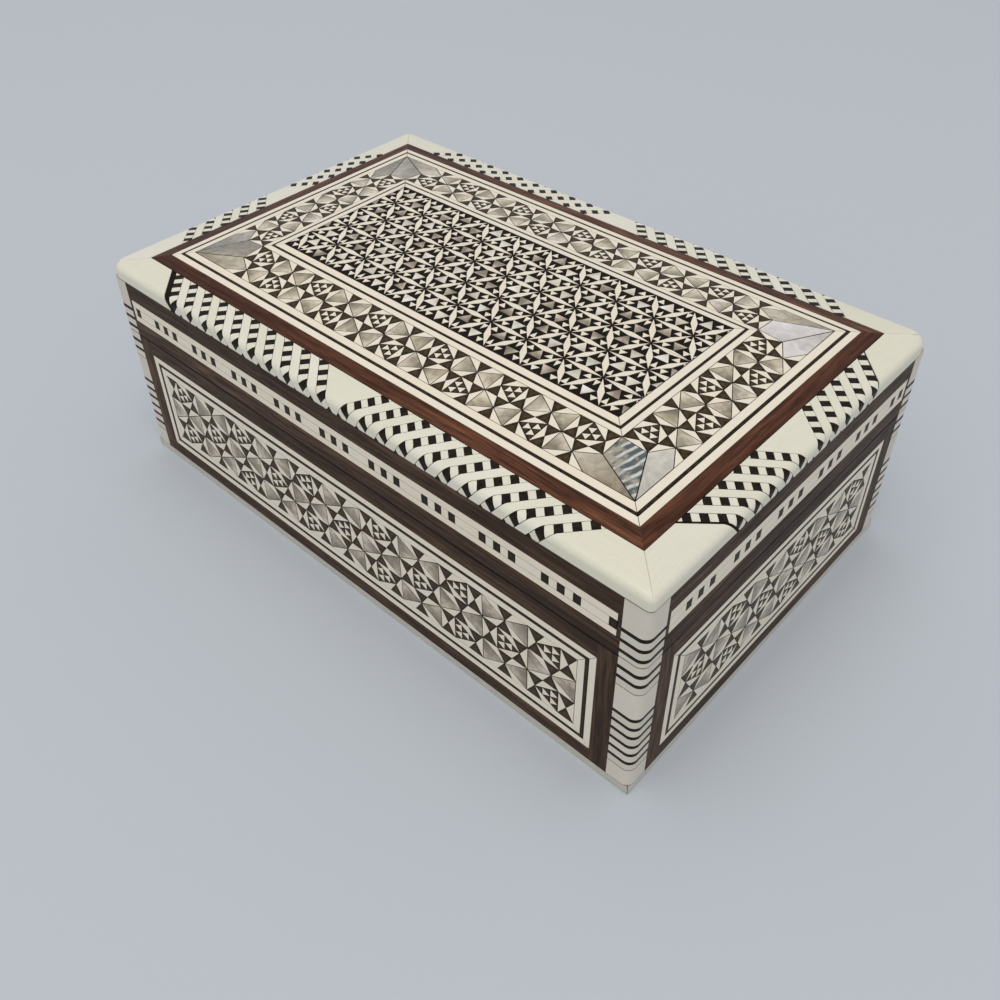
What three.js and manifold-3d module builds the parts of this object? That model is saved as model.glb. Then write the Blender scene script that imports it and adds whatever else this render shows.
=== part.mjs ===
// Trinket box with a hinged lid, made of wood and covered with bone, horn and shell inlay.
// Millimetres, +Z up. The long front faces -Y, the short right side faces +X, the hinges sit at +Y.
import * as THREE from 'three';
import * as BufferGeometryUtils from 'three/addons/utils/BufferGeometryUtils.js';
import Module from 'manifold-3d';

const wasm = await Module();
wasm.setup();

// Overall plan of the box, over the bone moulding round the lid
const boxLength = 160;
const boxWidth = 100.2;

// Joints between pieces
const glueLine = 0.05;
const seamGap = 0.3;
const overrun = 1;

// Thickness of the inlaid sheets, and how deep the horn and mastic lie in them
const veneer = 1.3;
const relief = 0.3;

// Moulding round the lid's edge
const mouldingWidth = 7.4;
const mouldingOverhang = 0.1;
const mouldingFace = 3.4;
const mouldingRise = 0.8;
const mouldingRound = 1.7;
const mouldingRoundSteps = 2;

// Case, from the ground up
const plinthHeight = 2.2;
const bottomRail = 3.6;
const topRail = 4.2;
const caseHeight = 38.3;
const stileWidth = 4.4;
const baseThickness = 4;
const baseLift = 1;
const baseClothThickness = 0.6;

// Bone and horn strings round each side panel
const panelOuterString = 1.6;
const panelHornString = 0.9;
const panelInnerString = 1.7;
const longPanelColumns = 11;
const shortPanelColumns = 6;

// Corner posts
const postSize = 5.4;
const postRound = 1.4;
const postRoundSteps = 1;
const postStripe = 0.9;
const postStripePitch = 2.7;
const caseStripesTop = 2;
const caseStripesBottom = 6;
const caseTopStripeDrop = 2.45;
const caseBottomStripeRise = 7.45;
const lidStripes = 3;
const lidStripeRise = 1.6;
const postStripeDepth = 0.25;

// Lid side, from the seam up
const lidLowerStrip = 4.35;
const dashBandHeight = 5.85;
const lidUpperStrip = 4.65;
const dashBandThickness = 1.2;
const dashEndStrip = 0.9;
const dashWidth = 1.7;
const dashHeight = 2.2;
const dashRise = 1.9;
const dashPitch = 3.7;
const dashGroupPitch = 15.4;
const dashesInGroup = 3;
const longDashShift = 0.6;
const shortDashShift = -3.5;

// Lid top, rings from the moulding inwards and how much each one climbs
const borderStripWidth = 3.5;
const borderStripRise = 0.6;
const outerBoneString = 1.6;
const outerHornString = 0.8;
const outerInnerBoneString = 1.65;
const outerStringRise = 0.5;
const starBorderWidth = 11.6;
const starBorderRise = 1;
const innerBoneString = 1.3;
const innerHornString = 0.75;
const innerInnerBoneString = 1.6;
const innerStringRise = 0.5;
const lidBoardDrop = 1.1;
const longBorderColumns = 11;
const shortBorderColumns = 5;

// Star field in the middle of the lid: a net of bone lozenges over a dark ground
const fieldRows = 5;
const fieldColumns = 10;
const fieldStart = 0.2;
const lozengeWidth = 1.5;
const lozengeGap = 0.4;
const fieldEdge = 0.3;

// Moulding: plain bone pieces at the corners and middles, and the woven lengths between them
const weaveBand = 2.07;
const weavePitch = 3.2;
const weaveLine = 0.12;
const weaveStart = 0.9;
const cornerPieceLength = 8.8;
const centrePieceLength = 17;
const mitreLine = 0.2;
const cornerRound = 3;
const cornerRoundSteps = 2;

// Linings
const liningThickness = 1.2;
const liningDrop = 1;
const padThickness = 2;
const padRound = 0.8;
const liningGap = 0.3;

// Two butt hinges on the back
const hingeInset = 35;
const leafLength = 22;
const leafDepth = 5;
const leafThickness = 0.7;
const barrelRadius = 1.4;
const barrelGap = 0.3;
const pinRadius = 0.6;
const pinPlay = 0.1;
const barrelSides = 12;
const knuckleCount = 3;

// Sizes that follow from the ones above
const bodyHalfLength = boxLength / 2 - mouldingOverhang;
const bodyHalfWidth = boxWidth / 2 - mouldingOverhang;
const wallThickness = mouldingWidth - mouldingOverhang;
const panelString = panelOuterString + panelHornString + panelInnerString;
const frameBottom = plinthHeight + bottomRail;
const frameTop = caseHeight - topRail;
const lidBottom = caseHeight + seamGap;
const dashBandBottom = lidBottom + lidLowerStrip;
const dashBandTop = dashBandBottom + dashBandHeight;
const rimTop = dashBandTop + lidUpperStrip;
const mouldingShoulder = rimTop + mouldingFace;
const borderOuterZ = mouldingShoulder + mouldingRise;
const outerStringZ = borderOuterZ + borderStripRise;
const starBorderOuterZ = outerStringZ + outerStringRise;
const starBorderInnerZ = starBorderOuterZ + starBorderRise;
const fieldZ = starBorderInnerZ + innerStringRise;
const outerStringWidth = outerBoneString + outerHornString + outerInnerBoneString;
const innerStringWidth = innerBoneString + innerHornString + innerInnerBoneString;
const topHalfLength = boxLength / 2 - mouldingWidth;
const topHalfWidth = boxWidth / 2 - mouldingWidth;
const borderInset = borderStripWidth + outerStringWidth;
const fieldInset = borderInset + starBorderWidth + innerStringWidth;
const fieldHalfLength = topHalfLength - fieldInset;
const fieldHalfWidth = topHalfWidth - fieldInset;
const lidBoardBottom = rimTop - lidBoardDrop;
const hingeY = bodyHalfWidth + barrelGap + barrelRadius;
const hingeZ = caseHeight + seamGap / 2;
const hingeX = boxLength / 2 - hingeInset;
const hingeProud = hingeY + barrelRadius - boxWidth / 2;
const wallInnerHalfLength = bodyHalfLength - wallThickness;
const wallInnerHalfWidth = bodyHalfWidth - wallThickness;

// Finishes
const bone = new THREE.MeshStandardMaterial({ color: 0xe0dac6, roughness: 0.42, metalness: 0 });
const darkWood = new THREE.MeshStandardMaterial({ color: 0x463631, roughness: 0.5, metalness: 0 });
const redWood = new THREE.MeshStandardMaterial({ color: 0x5a3329, roughness: 0.45, metalness: 0 });
const carcassWood = new THREE.MeshStandardMaterial({ color: 0xb08a5e, roughness: 0.65, metalness: 0 });
const mosaic = new THREE.MeshStandardMaterial({ color: 0xcfc6b1, roughness: 0.35, metalness: 0 });
const velvet = new THREE.MeshStandardMaterial({ color: 0x6a1320, roughness: 0.95, metalness: 0 });
const felt = new THREE.MeshStandardMaterial({ color: 0x3c2a22, roughness: 0.95, metalness: 0 });
const brass = new THREE.MeshStandardMaterial({ color: 0xb08d3f, roughness: 0.35, metalness: 1 });

// The four sides of the box: each is built as a front and turned into place
const sides = [
  { name: 'front', turn: 0, long: true },
  { name: 'right', turn: Math.PI / 2, long: false },
  { name: 'back', turn: Math.PI, long: true },
  { name: 'left', turn: -Math.PI / 2, long: false },
];

// A closed geometry as a solid that can be cut and joined
function solidOf(geometry) {
  const bare = geometry.clone();
  bare.deleteAttribute('normal');
  bare.deleteAttribute('uv');
  const merged = BufferGeometryUtils.mergeVertices(bare);
  const vertProperties = new Float32Array(merged.attributes.position.array);
  const triVerts = new Uint32Array(merged.index.array);
  return new wasm.Manifold(new wasm.Mesh({ numProp: 3, vertProperties, triVerts }));
}

// A solid as a geometry
function geometryOf(solid) {
  const mesh = solid.getMesh();
  const positions = [];
  for (let i = 0; i < mesh.vertProperties.length; i += mesh.numProp) {
    positions.push(mesh.vertProperties[i], mesh.vertProperties[i + 1], mesh.vertProperties[i + 2]);
  }
  const geometry = new THREE.BufferGeometry();
  geometry.setAttribute('position', new THREE.Float32BufferAttribute(positions, 3));
  geometry.setIndex(Array.from(mesh.triVerts));
  return geometry;
}

// Many separate prisms as one tool
function joined(geometries) {
  const loose = geometries.map((geometry) => (geometry.index ? geometry.toNonIndexed() : geometry));
  return solidOf(BufferGeometryUtils.mergeGeometries(loose));
}

// A block between two corners
function block(low, high) {
  const size = high.map((value, i) => value - low[i]);
  const middle = high.map((value, i) => (value + low[i]) / 2);
  return new THREE.BoxGeometry(...size).translate(...middle);
}

// A flat outline raised from one height to another
function prism(outline, bottom, top) {
  const shape = new THREE.Shape(outline.map(([x, y]) => new THREE.Vector2(x, y)));
  const geometry = new THREE.ExtrudeGeometry(shape, { depth: top - bottom, bevelEnabled: false });
  return geometry.translate(0, 0, bottom);
}

// A section of insets and heights swept along one side, mitred at both ends, or round all four
function sweptSection(section, halfRun, halfDepth, closed) {
  const signs = closed ? [[-1, -1], [1, -1], [1, 1], [-1, 1]] : [[-1, -1], [1, -1]];
  const count = section.length;
  const positions = [];
  for (const [sx, sy] of signs) {
    for (const [inset, z] of section) {
      positions.push(sx * (halfRun - inset), sy * (halfDepth - inset), z);
    }
  }
  const index = [];
  const spans = closed ? signs.length : signs.length - 1;
  for (let span = 0; span < spans; span += 1) {
    const here = span * count;
    const next = ((span + 1) % signs.length) * count;
    for (let i = 0; i < count; i += 1) {
      const j = (i + 1) % count;
      index.push(here + i, here + j, next + j, here + i, next + j, next + i);
    }
  }
  if (!closed) {
    const contour = section.map(([inset, z]) => new THREE.Vector2(inset, z));
    for (const [a, b, c] of THREE.ShapeUtils.triangulateShape(contour, [])) {
      index.push(a, c, b, count + a, count + b, count + c);
    }
  }
  const geometry = new THREE.BufferGeometry();
  geometry.setAttribute('position', new THREE.Float32BufferAttribute(positions, 3));
  geometry.setIndex(index);
  return geometry;
}

// Rectangles stacked on each other, closed at the bottom and the top
function stackedRectangles(levels) {
  const signs = [[-1, -1], [1, -1], [1, 1], [-1, 1]];
  const positions = [];
  for (const [halfRun, halfDepth, z] of levels) {
    for (const [sx, sy] of signs) {
      positions.push(sx * halfRun, sy * halfDepth, z);
    }
  }
  const index = [0, 2, 1, 0, 3, 2];
  for (let level = 1; level < levels.length; level += 1) {
    const low = (level - 1) * 4;
    const high = level * 4;
    for (let i = 0; i < 4; i += 1) {
      const j = (i + 1) % 4;
      index.push(low + i, low + j, high + j, low + i, high + j, high + i);
    }
  }
  const top = (levels.length - 1) * 4;
  index.push(top, top + 1, top + 2, top, top + 2, top + 3);
  const geometry = new THREE.BufferGeometry();
  geometry.setAttribute('position', new THREE.Float32BufferAttribute(positions, 3));
  geometry.setIndex(index);
  return geometry;
}

// Plan of a wall between two corner posts, with its mitred lips behind them
function wallPlan(halfRun, halfDepth) {
  const postEdge = halfRun - postSize - glueLine;
  const lipY = -halfDepth + postSize;
  const innerEdge = halfRun - wallThickness - glueLine;
  return [
    [-postEdge, -halfDepth],
    [postEdge, -halfDepth],
    [postEdge, lipY],
    [innerEdge, -halfDepth + wallThickness],
    [-innerEdge, -halfDepth + wallThickness],
    [-postEdge, lipY],
  ];
}

// A six-pointed star in a hexagon of radius 1 that stands on a corner
const starShares = [];
for (let k = 0; k < 12; k += 1) {
  const angle = Math.PI / 2 + k * Math.PI / 6;
  const radius = k % 2 === 0 ? 1 : 1 / Math.sqrt(3);
  starShares.push([radius * Math.cos(angle), radius * Math.sin(angle)]);
}
const starShare = 0.88;

// A tool that lets the stars of a band into its face, in columns that step up and down by turns.
// The two lists give the heights of the star centres in each kind of column, in hexagon radii.
function starTool(halfRun, halfHeight, radius, columns, evenSteps, oddSteps) {
  const pitch = 2 * halfRun / columns;
  const halfPitch = starShare * pitch / Math.sqrt(3);
  const stars = [];
  for (let column = 0; column < columns; column += 1) {
    const x = -halfRun + pitch * (column + 1 / 2);
    for (const step of column % 2 === 0 ? evenSteps : oddSteps) {
      const outline = starShares.map(([u, v]) => [x + u * halfPitch, (step + v * starShare) * radius]);
      stars.push(prism(outline, -relief, overrun));
    }
  }
  const window = block([-halfRun, -halfHeight, -relief - overrun], [halfRun, halfHeight, 2 * overrun]);
  return joined(stars).intersect(solidOf(window));
}

const box = new THREE.Group();
box.position.y = -hingeProud / 2;
const caseGroup = new THREE.Group();
const lidGroup = new THREE.Group();
box.add(caseGroup, lidGroup);

function piece(parent, name, geometry, material) {
  const mesh = new THREE.Mesh(geometry, material);
  mesh.name = name;
  parent.add(mesh);
  return mesh;
}

// One turned group per side in the case and in the lid
const sideGroups = sides.map((side) => {
  const halfRun = side.long ? bodyHalfLength : bodyHalfWidth;
  const halfDepth = side.long ? bodyHalfWidth : bodyHalfLength;
  const onCase = new THREE.Group();
  const onLid = new THREE.Group();
  onCase.rotation.z = side.turn;
  onLid.rotation.z = side.turn;
  caseGroup.add(onCase);
  lidGroup.add(onLid);
  return { ...side, halfRun, halfDepth, onCase, onLid };
});

// Mortises for the hinge leaves, cut in the back wall from above and in the back rim from below
function leafMortises(bottom, top) {
  const tools = [-1, 1].map((sign) => {
    const x = sign * hingeX;
    const half = leafLength / 2 + glueLine;
    const face = -bodyHalfWidth;
    return block([x - half, face - overrun, bottom], [x + half, face + leafDepth + glueLine, top]);
  });
  return joined(tools);
}

// Base board, let in between the walls and lifted off the ground
piece(caseGroup, 'base_board', block(
  [-wallInnerHalfLength + glueLine, -wallInnerHalfWidth + glueLine, baseLift],
  [wallInnerHalfLength - glueLine, wallInnerHalfWidth - glueLine, baseLift + baseThickness],
), carcassWood);

// Cloth glued under the base board
const clothHalfLength = wallInnerHalfLength - liningGap;
const clothHalfWidth = wallInnerHalfWidth - liningGap;
const clothTop = baseLift - glueLine;
piece(caseGroup, 'base_cloth', block(
  [-clothHalfLength, -clothHalfWidth, clothTop - baseClothThickness],
  [clothHalfLength, clothHalfWidth, clothTop],
), felt);

// Walls, faced with dark wood, with a shallow tray for the star panel
for (const side of sideGroups) {
  const { halfRun, halfDepth } = side;
  const frameHalf = halfRun - postSize - stileWidth;
  const wallBottom = plinthHeight + glueLine;
  let wall = solidOf(prism(wallPlan(halfRun, halfDepth), wallBottom, caseHeight));
  wall = wall.subtract(solidOf(block(
    [-frameHalf - glueLine, -halfDepth - overrun, frameBottom - glueLine],
    [frameHalf + glueLine, -halfDepth + veneer + glueLine, frameTop + glueLine],
  )));
  if (side.name === 'back') {
    wall = wall.subtract(leafMortises(caseHeight - leafThickness - glueLine, caseHeight + overrun));
  }
  piece(side.onCase, `case_wall_${side.name}`, geometryOf(wall), darkWood);
}

// Star panels, built lying flat: strings round the edge, then columns of two stars and of one by turns.
// A panel is three hexagon radii high, so the outer stars of a pair are cut by the strings.
const panelRadii = 3 / 2;
const pairSteps = [-1, 1];
const singleSteps = [-2, 0, 2];
for (const side of sideGroups) {
  const { halfRun, halfDepth } = side;
  const frameHalf = halfRun - postSize - stileWidth;
  const frameHalfHeight = (frameTop - frameBottom) / 2;
  const grooveOuter = panelOuterString;
  const grooveInner = panelOuterString + panelHornString;
  let panel = solidOf(block([-frameHalf, -frameHalfHeight, -veneer], [frameHalf, frameHalfHeight, 0]));
  panel = panel.subtract(solidOf(sweptSection([
    [grooveOuter, -relief],
    [grooveInner, -relief],
    [grooveInner, overrun],
    [grooveOuter, overrun],
  ], frameHalf, frameHalfHeight, true)));
  const halfHeight = frameHalfHeight - panelString;
  const radius = halfHeight / panelRadii;
  const columns = side.long ? longPanelColumns : shortPanelColumns;
  const steps = side.long ? [pairSteps, singleSteps] : [singleSteps, pairSteps];
  panel = panel.subtract(starTool(frameHalf - panelString, halfHeight, radius, columns, ...steps));
  const mesh = piece(side.onCase, `star_panel_${side.name}`, geometryOf(panel), mosaic);
  mesh.rotation.x = Math.PI / 2;
  mesh.position.set(0, -halfDepth, (frameTop + frameBottom) / 2);
}

// Plinth strips of bone under the walls, mitred at the corners
for (const side of sideGroups) {
  const strip = sweptSection([
    [0, 0],
    [wallThickness, 0],
    [wallThickness, plinthHeight],
    [0, plinthHeight],
  ], side.halfRun, side.halfDepth, false);
  const gaps = joined([-1, 1].map((sign) => mitreGap(side, sign, overrun, glueLine)));
  const lipped = solidOf(strip).subtract(gaps);
  piece(side.onCase, `plinth_strip_${side.name}`, geometryOf(lipped), bone);
}

// A thin upright slice along the mitre at one end of a side
function mitreGap(side, sign, height, gap) {
  const slice = new THREE.BoxGeometry(gap, wallThickness * 4, (rimTop + height) * 2);
  slice.rotateZ(sign * Math.PI / 4);
  return slice.translate(sign * side.halfRun, -side.halfDepth, 0);
}

// Plan of a corner post at the front right, its outer edge rounded; the faces are drawn in by an inset
function postPlan(inset, back) {
  const face = postSize - inset;
  const round = postRound - inset;
  const outline = [[face, back], [-back, back], [-back, -face]];
  for (let step = postRoundSteps; step >= 0; step -= 1) {
    const angle = (step / postRoundSteps) * Math.PI / 2;
    outline.push([face - round + round * Math.cos(angle), -face + round - round * Math.sin(angle)]);
  }
  return outline;
}

// A post between two heights, with horn stripes let in round its two faces
function cornerPost(bottom, top, stripes) {
  const core = solidOf(prism(postPlan(postStripeDepth, 2 * overrun), bottom - overrun, top + overrun));
  const slabs = stripes.map((z) => block(
    [-overrun, -postSize - overrun, z - postStripe / 2],
    [postSize + overrun, overrun, z + postStripe / 2],
  ));
  const post = solidOf(prism(postPlan(0, 0), bottom, top));
  return geometryOf(post.subtract(joined(slabs).subtract(core)));
}

// Heights of the horn stripes
const caseStripeHeights = [];
for (let i = 0; i < caseStripesTop; i += 1) {
  caseStripeHeights.push(caseHeight - caseTopStripeDrop - i * postStripePitch);
}
for (let i = 0; i < caseStripesBottom; i += 1) {
  caseStripeHeights.push(plinthHeight + caseBottomStripeRise + i * postStripePitch);
}
const lidStripeHeights = [];
for (let i = 0; i < lidStripes; i += 1) {
  lidStripeHeights.push(lidBottom + lidStripeRise + i * postStripePitch);
}

// The four corners, each turned from the front right one
const corners = [
  { name: 'front_right', sx: 1, sy: -1, turn: 0 },
  { name: 'back_right', sx: 1, sy: 1, turn: Math.PI / 2 },
  { name: 'back_left', sx: -1, sy: 1, turn: Math.PI },
  { name: 'front_left', sx: -1, sy: -1, turn: -Math.PI / 2 },
];
const casePost = cornerPost(plinthHeight + glueLine, caseHeight, caseStripeHeights);
const lidPost = cornerPost(lidBottom, rimTop, lidStripeHeights);
for (const corner of corners) {
  const x = corner.sx * (bodyHalfLength - postSize);
  const y = corner.sy * (bodyHalfWidth - postSize);
  const posts = [[caseGroup, 'case_post', casePost], [lidGroup, 'lid_post', lidPost]];
  for (const [parent, prefix, geometry] of posts) {
    const mesh = piece(parent, `${prefix}_${corner.name}`, geometry, bone);
    mesh.rotation.z = corner.turn;
    mesh.position.set(x, y, 0);
  }
}

// Velvet pad on the base and one velvet band round the walls
const padHalfLength = wallInnerHalfLength - liningThickness - liningGap;
const padHalfWidth = wallInnerHalfWidth - liningThickness - liningGap;
const floorTop = baseLift + baseThickness;
piece(caseGroup, 'case_floor_pad', stackedRectangles([
  [padHalfLength, padHalfWidth, floorTop + glueLine],
  [padHalfLength, padHalfWidth, floorTop + padThickness - padRound],
  [padHalfLength - padRound, padHalfWidth - padRound, floorTop + padThickness],
]), velvet);
piece(caseGroup, 'case_wall_lining', sweptSection([
  [glueLine, floorTop + glueLine],
  [liningThickness, floorTop + glueLine],
  [liningThickness, caseHeight - liningDrop],
  [glueLine, caseHeight - liningDrop],
], wallInnerHalfLength, wallInnerHalfWidth, true), velvet);

// Lid rims, faced with dark wood, with a groove for the dashed bone band
for (const side of sideGroups) {
  const { halfRun, halfDepth } = side;
  const bandHalf = halfRun - postSize - dashEndStrip;
  let rim = solidOf(prism(wallPlan(halfRun, halfDepth), lidBottom, rimTop));
  rim = rim.subtract(solidOf(block(
    [-bandHalf - glueLine, -halfDepth - overrun, dashBandBottom - glueLine],
    [bandHalf + glueLine, -halfDepth + dashBandThickness + glueLine, dashBandTop + glueLine],
  )));
  if (side.name === 'back') {
    rim = rim.subtract(leafMortises(lidBottom - overrun, lidBottom + leafThickness + glueLine));
  }
  piece(side.onLid, `lid_rim_${side.name}`, geometryOf(rim), darkWood);
}

// Bone bands on the lid's sides, with horn dashes in threes cut from one long stock
for (const side of sideGroups) {
  const bandHalf = side.halfRun - postSize - dashEndStrip;
  const half = bandHalf - dashWidth / 2 - glueLine;
  const shift = side.long ? longDashShift : shortDashShift;
  const reach = Math.ceil(bandHalf / dashGroupPitch);
  const dashes = [];
  for (let group = -reach; group <= reach; group += 1) {
    for (let dash = 0; dash < dashesInGroup; dash += 1) {
      const x = shift + group * dashGroupPitch + (dash - (dashesInGroup - 1) / 2) * dashPitch;
      if (Math.abs(x) < half) {
        dashes.push(block(
          [x - dashWidth / 2, -side.halfDepth - overrun, dashBandBottom + dashRise],
          [x + dashWidth / 2, -side.halfDepth + relief, dashBandBottom + dashRise + dashHeight],
        ));
      }
    }
  }
  const strip = solidOf(block(
    [-bandHalf, -side.halfDepth, dashBandBottom],
    [bandHalf, -side.halfDepth + dashBandThickness, dashBandTop],
  ));
  piece(side.onLid, `dash_band_${side.name}`, geometryOf(strip.subtract(joined(dashes))), bone);
}

// Lid board, its top hipped so that the sheets on it climb to the middle
const lidBoardLevels = [
  [0, lidBoardBottom],
  [0, borderOuterZ - veneer - glueLine],
  [borderStripWidth, outerStringZ - veneer - glueLine],
  [borderInset, starBorderOuterZ - veneer - glueLine],
  [borderInset + starBorderWidth, starBorderInnerZ - veneer - glueLine],
  [fieldInset, fieldZ - veneer - glueLine],
].map(([inset, z]) => [topHalfLength - inset - glueLine, topHalfWidth - inset - glueLine, z]);
piece(lidGroup, 'lid_board', stackedRectangles(lidBoardLevels), carcassWood);

// Reddish wood strips round the lid's top, mitred at the corners
for (const side of sideGroups) {
  const halfRun = side.long ? topHalfLength : topHalfWidth;
  const halfDepth = side.long ? topHalfWidth : topHalfLength;
  const strip = solidOf(sweptSection([
    [glueLine, borderOuterZ - veneer],
    [borderStripWidth - glueLine, outerStringZ - veneer],
    [borderStripWidth - glueLine, outerStringZ],
    [glueLine, borderOuterZ],
  ], halfRun, halfDepth, false));
  const mitres = joined([-1, 1].map((sign) => mitreGap({ halfRun, halfDepth }, sign, overrun, glueLine)));
  piece(side.onLid, `border_strip_${side.name}`, geometryOf(strip.subtract(mitres)), redWood);
}

// A ring of bone, horn and bone strings that climbs from its outer to its inner edge
function stringRing(outerBone, horn, innerBone, inset, outerZ, rise) {
  const width = outerBone + horn + innerBone;
  const at = (distance, drop) => [inset + distance, outerZ + rise * distance / width - drop];
  return sweptSection([
    at(glueLine, veneer),
    at(width - glueLine, veneer),
    at(width - glueLine, 0),
    at(outerBone + horn, 0),
    at(outerBone + horn, relief),
    at(outerBone, relief),
    at(outerBone, 0),
    at(glueLine, 0),
  ], topHalfLength, topHalfWidth, true);
}
piece(lidGroup, 'outer_stringing', stringRing(
  outerBoneString,
  outerHornString,
  outerInnerBoneString,
  borderStripWidth,
  outerStringZ,
  outerStringRise,
), bone);
piece(lidGroup, 'inner_stringing', stringRing(
  innerBoneString,
  innerHornString,
  innerInnerBoneString,
  borderInset + starBorderWidth,
  starBorderInnerZ,
  innerStringRise,
), bone);

// Star border round the lid: one hipped ring, with stars against its inner and outer edge by turns
const borderMiddle = borderInset + starBorderWidth / 2;
const borderSlope = Math.atan2(starBorderRise, starBorderWidth);
const borderRadius = starBorderWidth / 2;
const innerSteps = [1 / 2];
const outerSteps = [-1 / 2];
let starBorder = solidOf(sweptSection([
  [borderInset + glueLine, starBorderOuterZ - veneer],
  [borderInset + starBorderWidth - glueLine, starBorderInnerZ - veneer],
  [borderInset + starBorderWidth - glueLine, starBorderInnerZ],
  [borderInset + glueLine, starBorderOuterZ],
], topHalfLength, topHalfWidth, true));
for (const side of sides) {
  const halfRun = side.long ? topHalfLength : topHalfWidth;
  const halfDepth = side.long ? topHalfWidth : topHalfLength;
  const columns = side.long ? longBorderColumns : shortBorderColumns;
  const innerHalf = halfRun - borderInset - starBorderWidth;
  const halfHeight = borderRadius - fieldEdge;
  const stars = starTool(innerHalf, halfHeight, borderRadius, columns, innerSteps, outerSteps);
  const lying = geometryOf(stars);
  lying.rotateX(borderSlope);
  lying.translate(0, -halfDepth + borderMiddle, (starBorderOuterZ + starBorderInnerZ) / 2);
  lying.rotateZ(side.turn);
  starBorder = starBorder.subtract(solidOf(lying));
}
piece(lidGroup, 'star_border', geometryOf(starBorder), mosaic);

// Star field: rows of triangular cells, whose edges are bone lozenges that meet six at a point
const rowPitch = 2 * fieldHalfWidth / fieldRows;
const cellPitch = 2 * (fieldHalfLength + fieldStart) / fieldColumns;
const netReach = fieldColumns + 1;

// A lozenge between two points of the net, its ends held back from them
function lozenge(from, to) {
  const start = new THREE.Vector2(...from);
  const along = new THREE.Vector2(...to).sub(start);
  const middle = start.clone().addScaledVector(along, 1 / 2);
  const reach = along.length() / 2 - lozengeGap;
  along.normalize();
  const across = new THREE.Vector2(along.y, -along.x).multiplyScalar(lozengeWidth / 2);
  const corners = [
    middle.clone().addScaledVector(along, -reach),
    middle.clone().add(across),
    middle.clone().addScaledVector(along, reach),
    middle.clone().sub(across),
  ];
  return corners.map((corner) => [corner.x, corner.y]);
}
const lozenges = [];
for (let row = 0; row <= fieldRows; row += 1) {
  const y = row * rowPitch - fieldHalfWidth;
  const start = row % 2 === 0 ? -1 / 2 : 0;
  for (let column = start; column <= netReach; column += 1) {
    const x = column * cellPitch - fieldHalfLength - fieldStart;
    if (row > 0 && row < fieldRows) {
      lozenges.push(lozenge([x, y], [x + cellPitch, y]));
    }
    if (row < fieldRows) {
      lozenges.push(lozenge([x, y], [x + cellPitch / 2, y + rowPitch]));
      lozenges.push(lozenge([x, y], [x - cellPitch / 2, y + rowPitch]));
    }
  }
}
const fieldGround = solidOf(block(
  [-fieldHalfLength + glueLine, -fieldHalfWidth + glueLine, fieldZ - veneer],
  [fieldHalfLength - glueLine, fieldHalfWidth - glueLine, fieldZ - relief],
));
const fieldWindow = solidOf(block(
  [-fieldHalfLength + fieldEdge, -fieldHalfWidth + fieldEdge, fieldZ - veneer + relief],
  [fieldHalfLength - fieldEdge, fieldHalfWidth - fieldEdge, fieldZ],
));
const net = joined(lozenges.map((outline) => prism(outline, fieldZ - veneer, fieldZ + overrun)));
piece(lidGroup, 'star_field', geometryOf(fieldGround.add(net.intersect(fieldWindow))), mosaic);

// Section of the moulding, drawn in from its outer face and top by an inset
function mouldingSection(inset) {
  const round = mouldingRound - inset;
  const slope = mouldingRise / mouldingWidth;
  const shoulder = mouldingShoulder - inset;
  const points = [[mouldingWidth - glueLine, rimTop + glueLine]];
  points.push([mouldingWidth - glueLine, shoulder + slope * mouldingWidth]);
  for (let step = 0; step <= mouldingRoundSteps; step += 1) {
    const angle = Math.PI / 2 + (step / mouldingRoundSteps) * Math.PI / 2;
    const x = inset + round + round * Math.cos(angle);
    const z = shoulder - round + round * Math.sin(angle) + slope * (x - inset) * Math.sin(angle);
    points.push([x, z]);
  }
  points.push([inset, rimTop + glueLine]);
  return points;
}

// Plan between two slanted cuts, each running outwards and towards the middle of the side
function slantedPlan(halfDepth, innerFrom, innerTo, slantFrom, slantTo) {
  const innerY = -halfDepth + mouldingWidth + overrun;
  const outerY = -halfDepth - overrun;
  const reach = innerY - outerY;
  return [
    [innerFrom + overrun * slantFrom, innerY],
    [innerFrom + (overrun - reach) * slantFrom, outerY],
    [innerTo + (overrun - reach) * slantTo, outerY],
    [innerTo + overrun * slantTo, innerY],
  ];
}

// Horn squares between the slanted bone strips of one woven length. The strips run outwards and
// towards the middle of the side at 45 degrees, from one end of the length to the other. The
// squares stop where the moulding turns round its edge.
function weaveSquares(halfDepth, from, to) {
  const run = (to - from) / Math.SQRT2;
  const strips = Math.round((run / weaveBand - 1) / 2);
  const band = run / (2 * strips + 1);
  const across = band / 2 - weaveLine;
  const along = weavePitch / 4 - weaveLine;
  const cornerOffsets = [[-across, -along], [across, -along], [across, along], [-across, along]];
  const furthest = (mouldingWidth - mouldingRound) * Math.SQRT2 - across - along;
  const squares = [];
  for (let channel = 0; channel <= strips; channel += 1) {
    const x = from + (2 * channel + 1 / 2) * band * Math.SQRT2;
    for (let out = weaveStart; out < furthest; out += weavePitch) {
      squares.push(cornerOffsets.map(([t, w]) => [
        x + (t - w - out) / Math.SQRT2,
        mouldingWidth - halfDepth - (t + w + out) / Math.SQRT2,
      ]));
    }
  }
  return squares;
}

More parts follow.
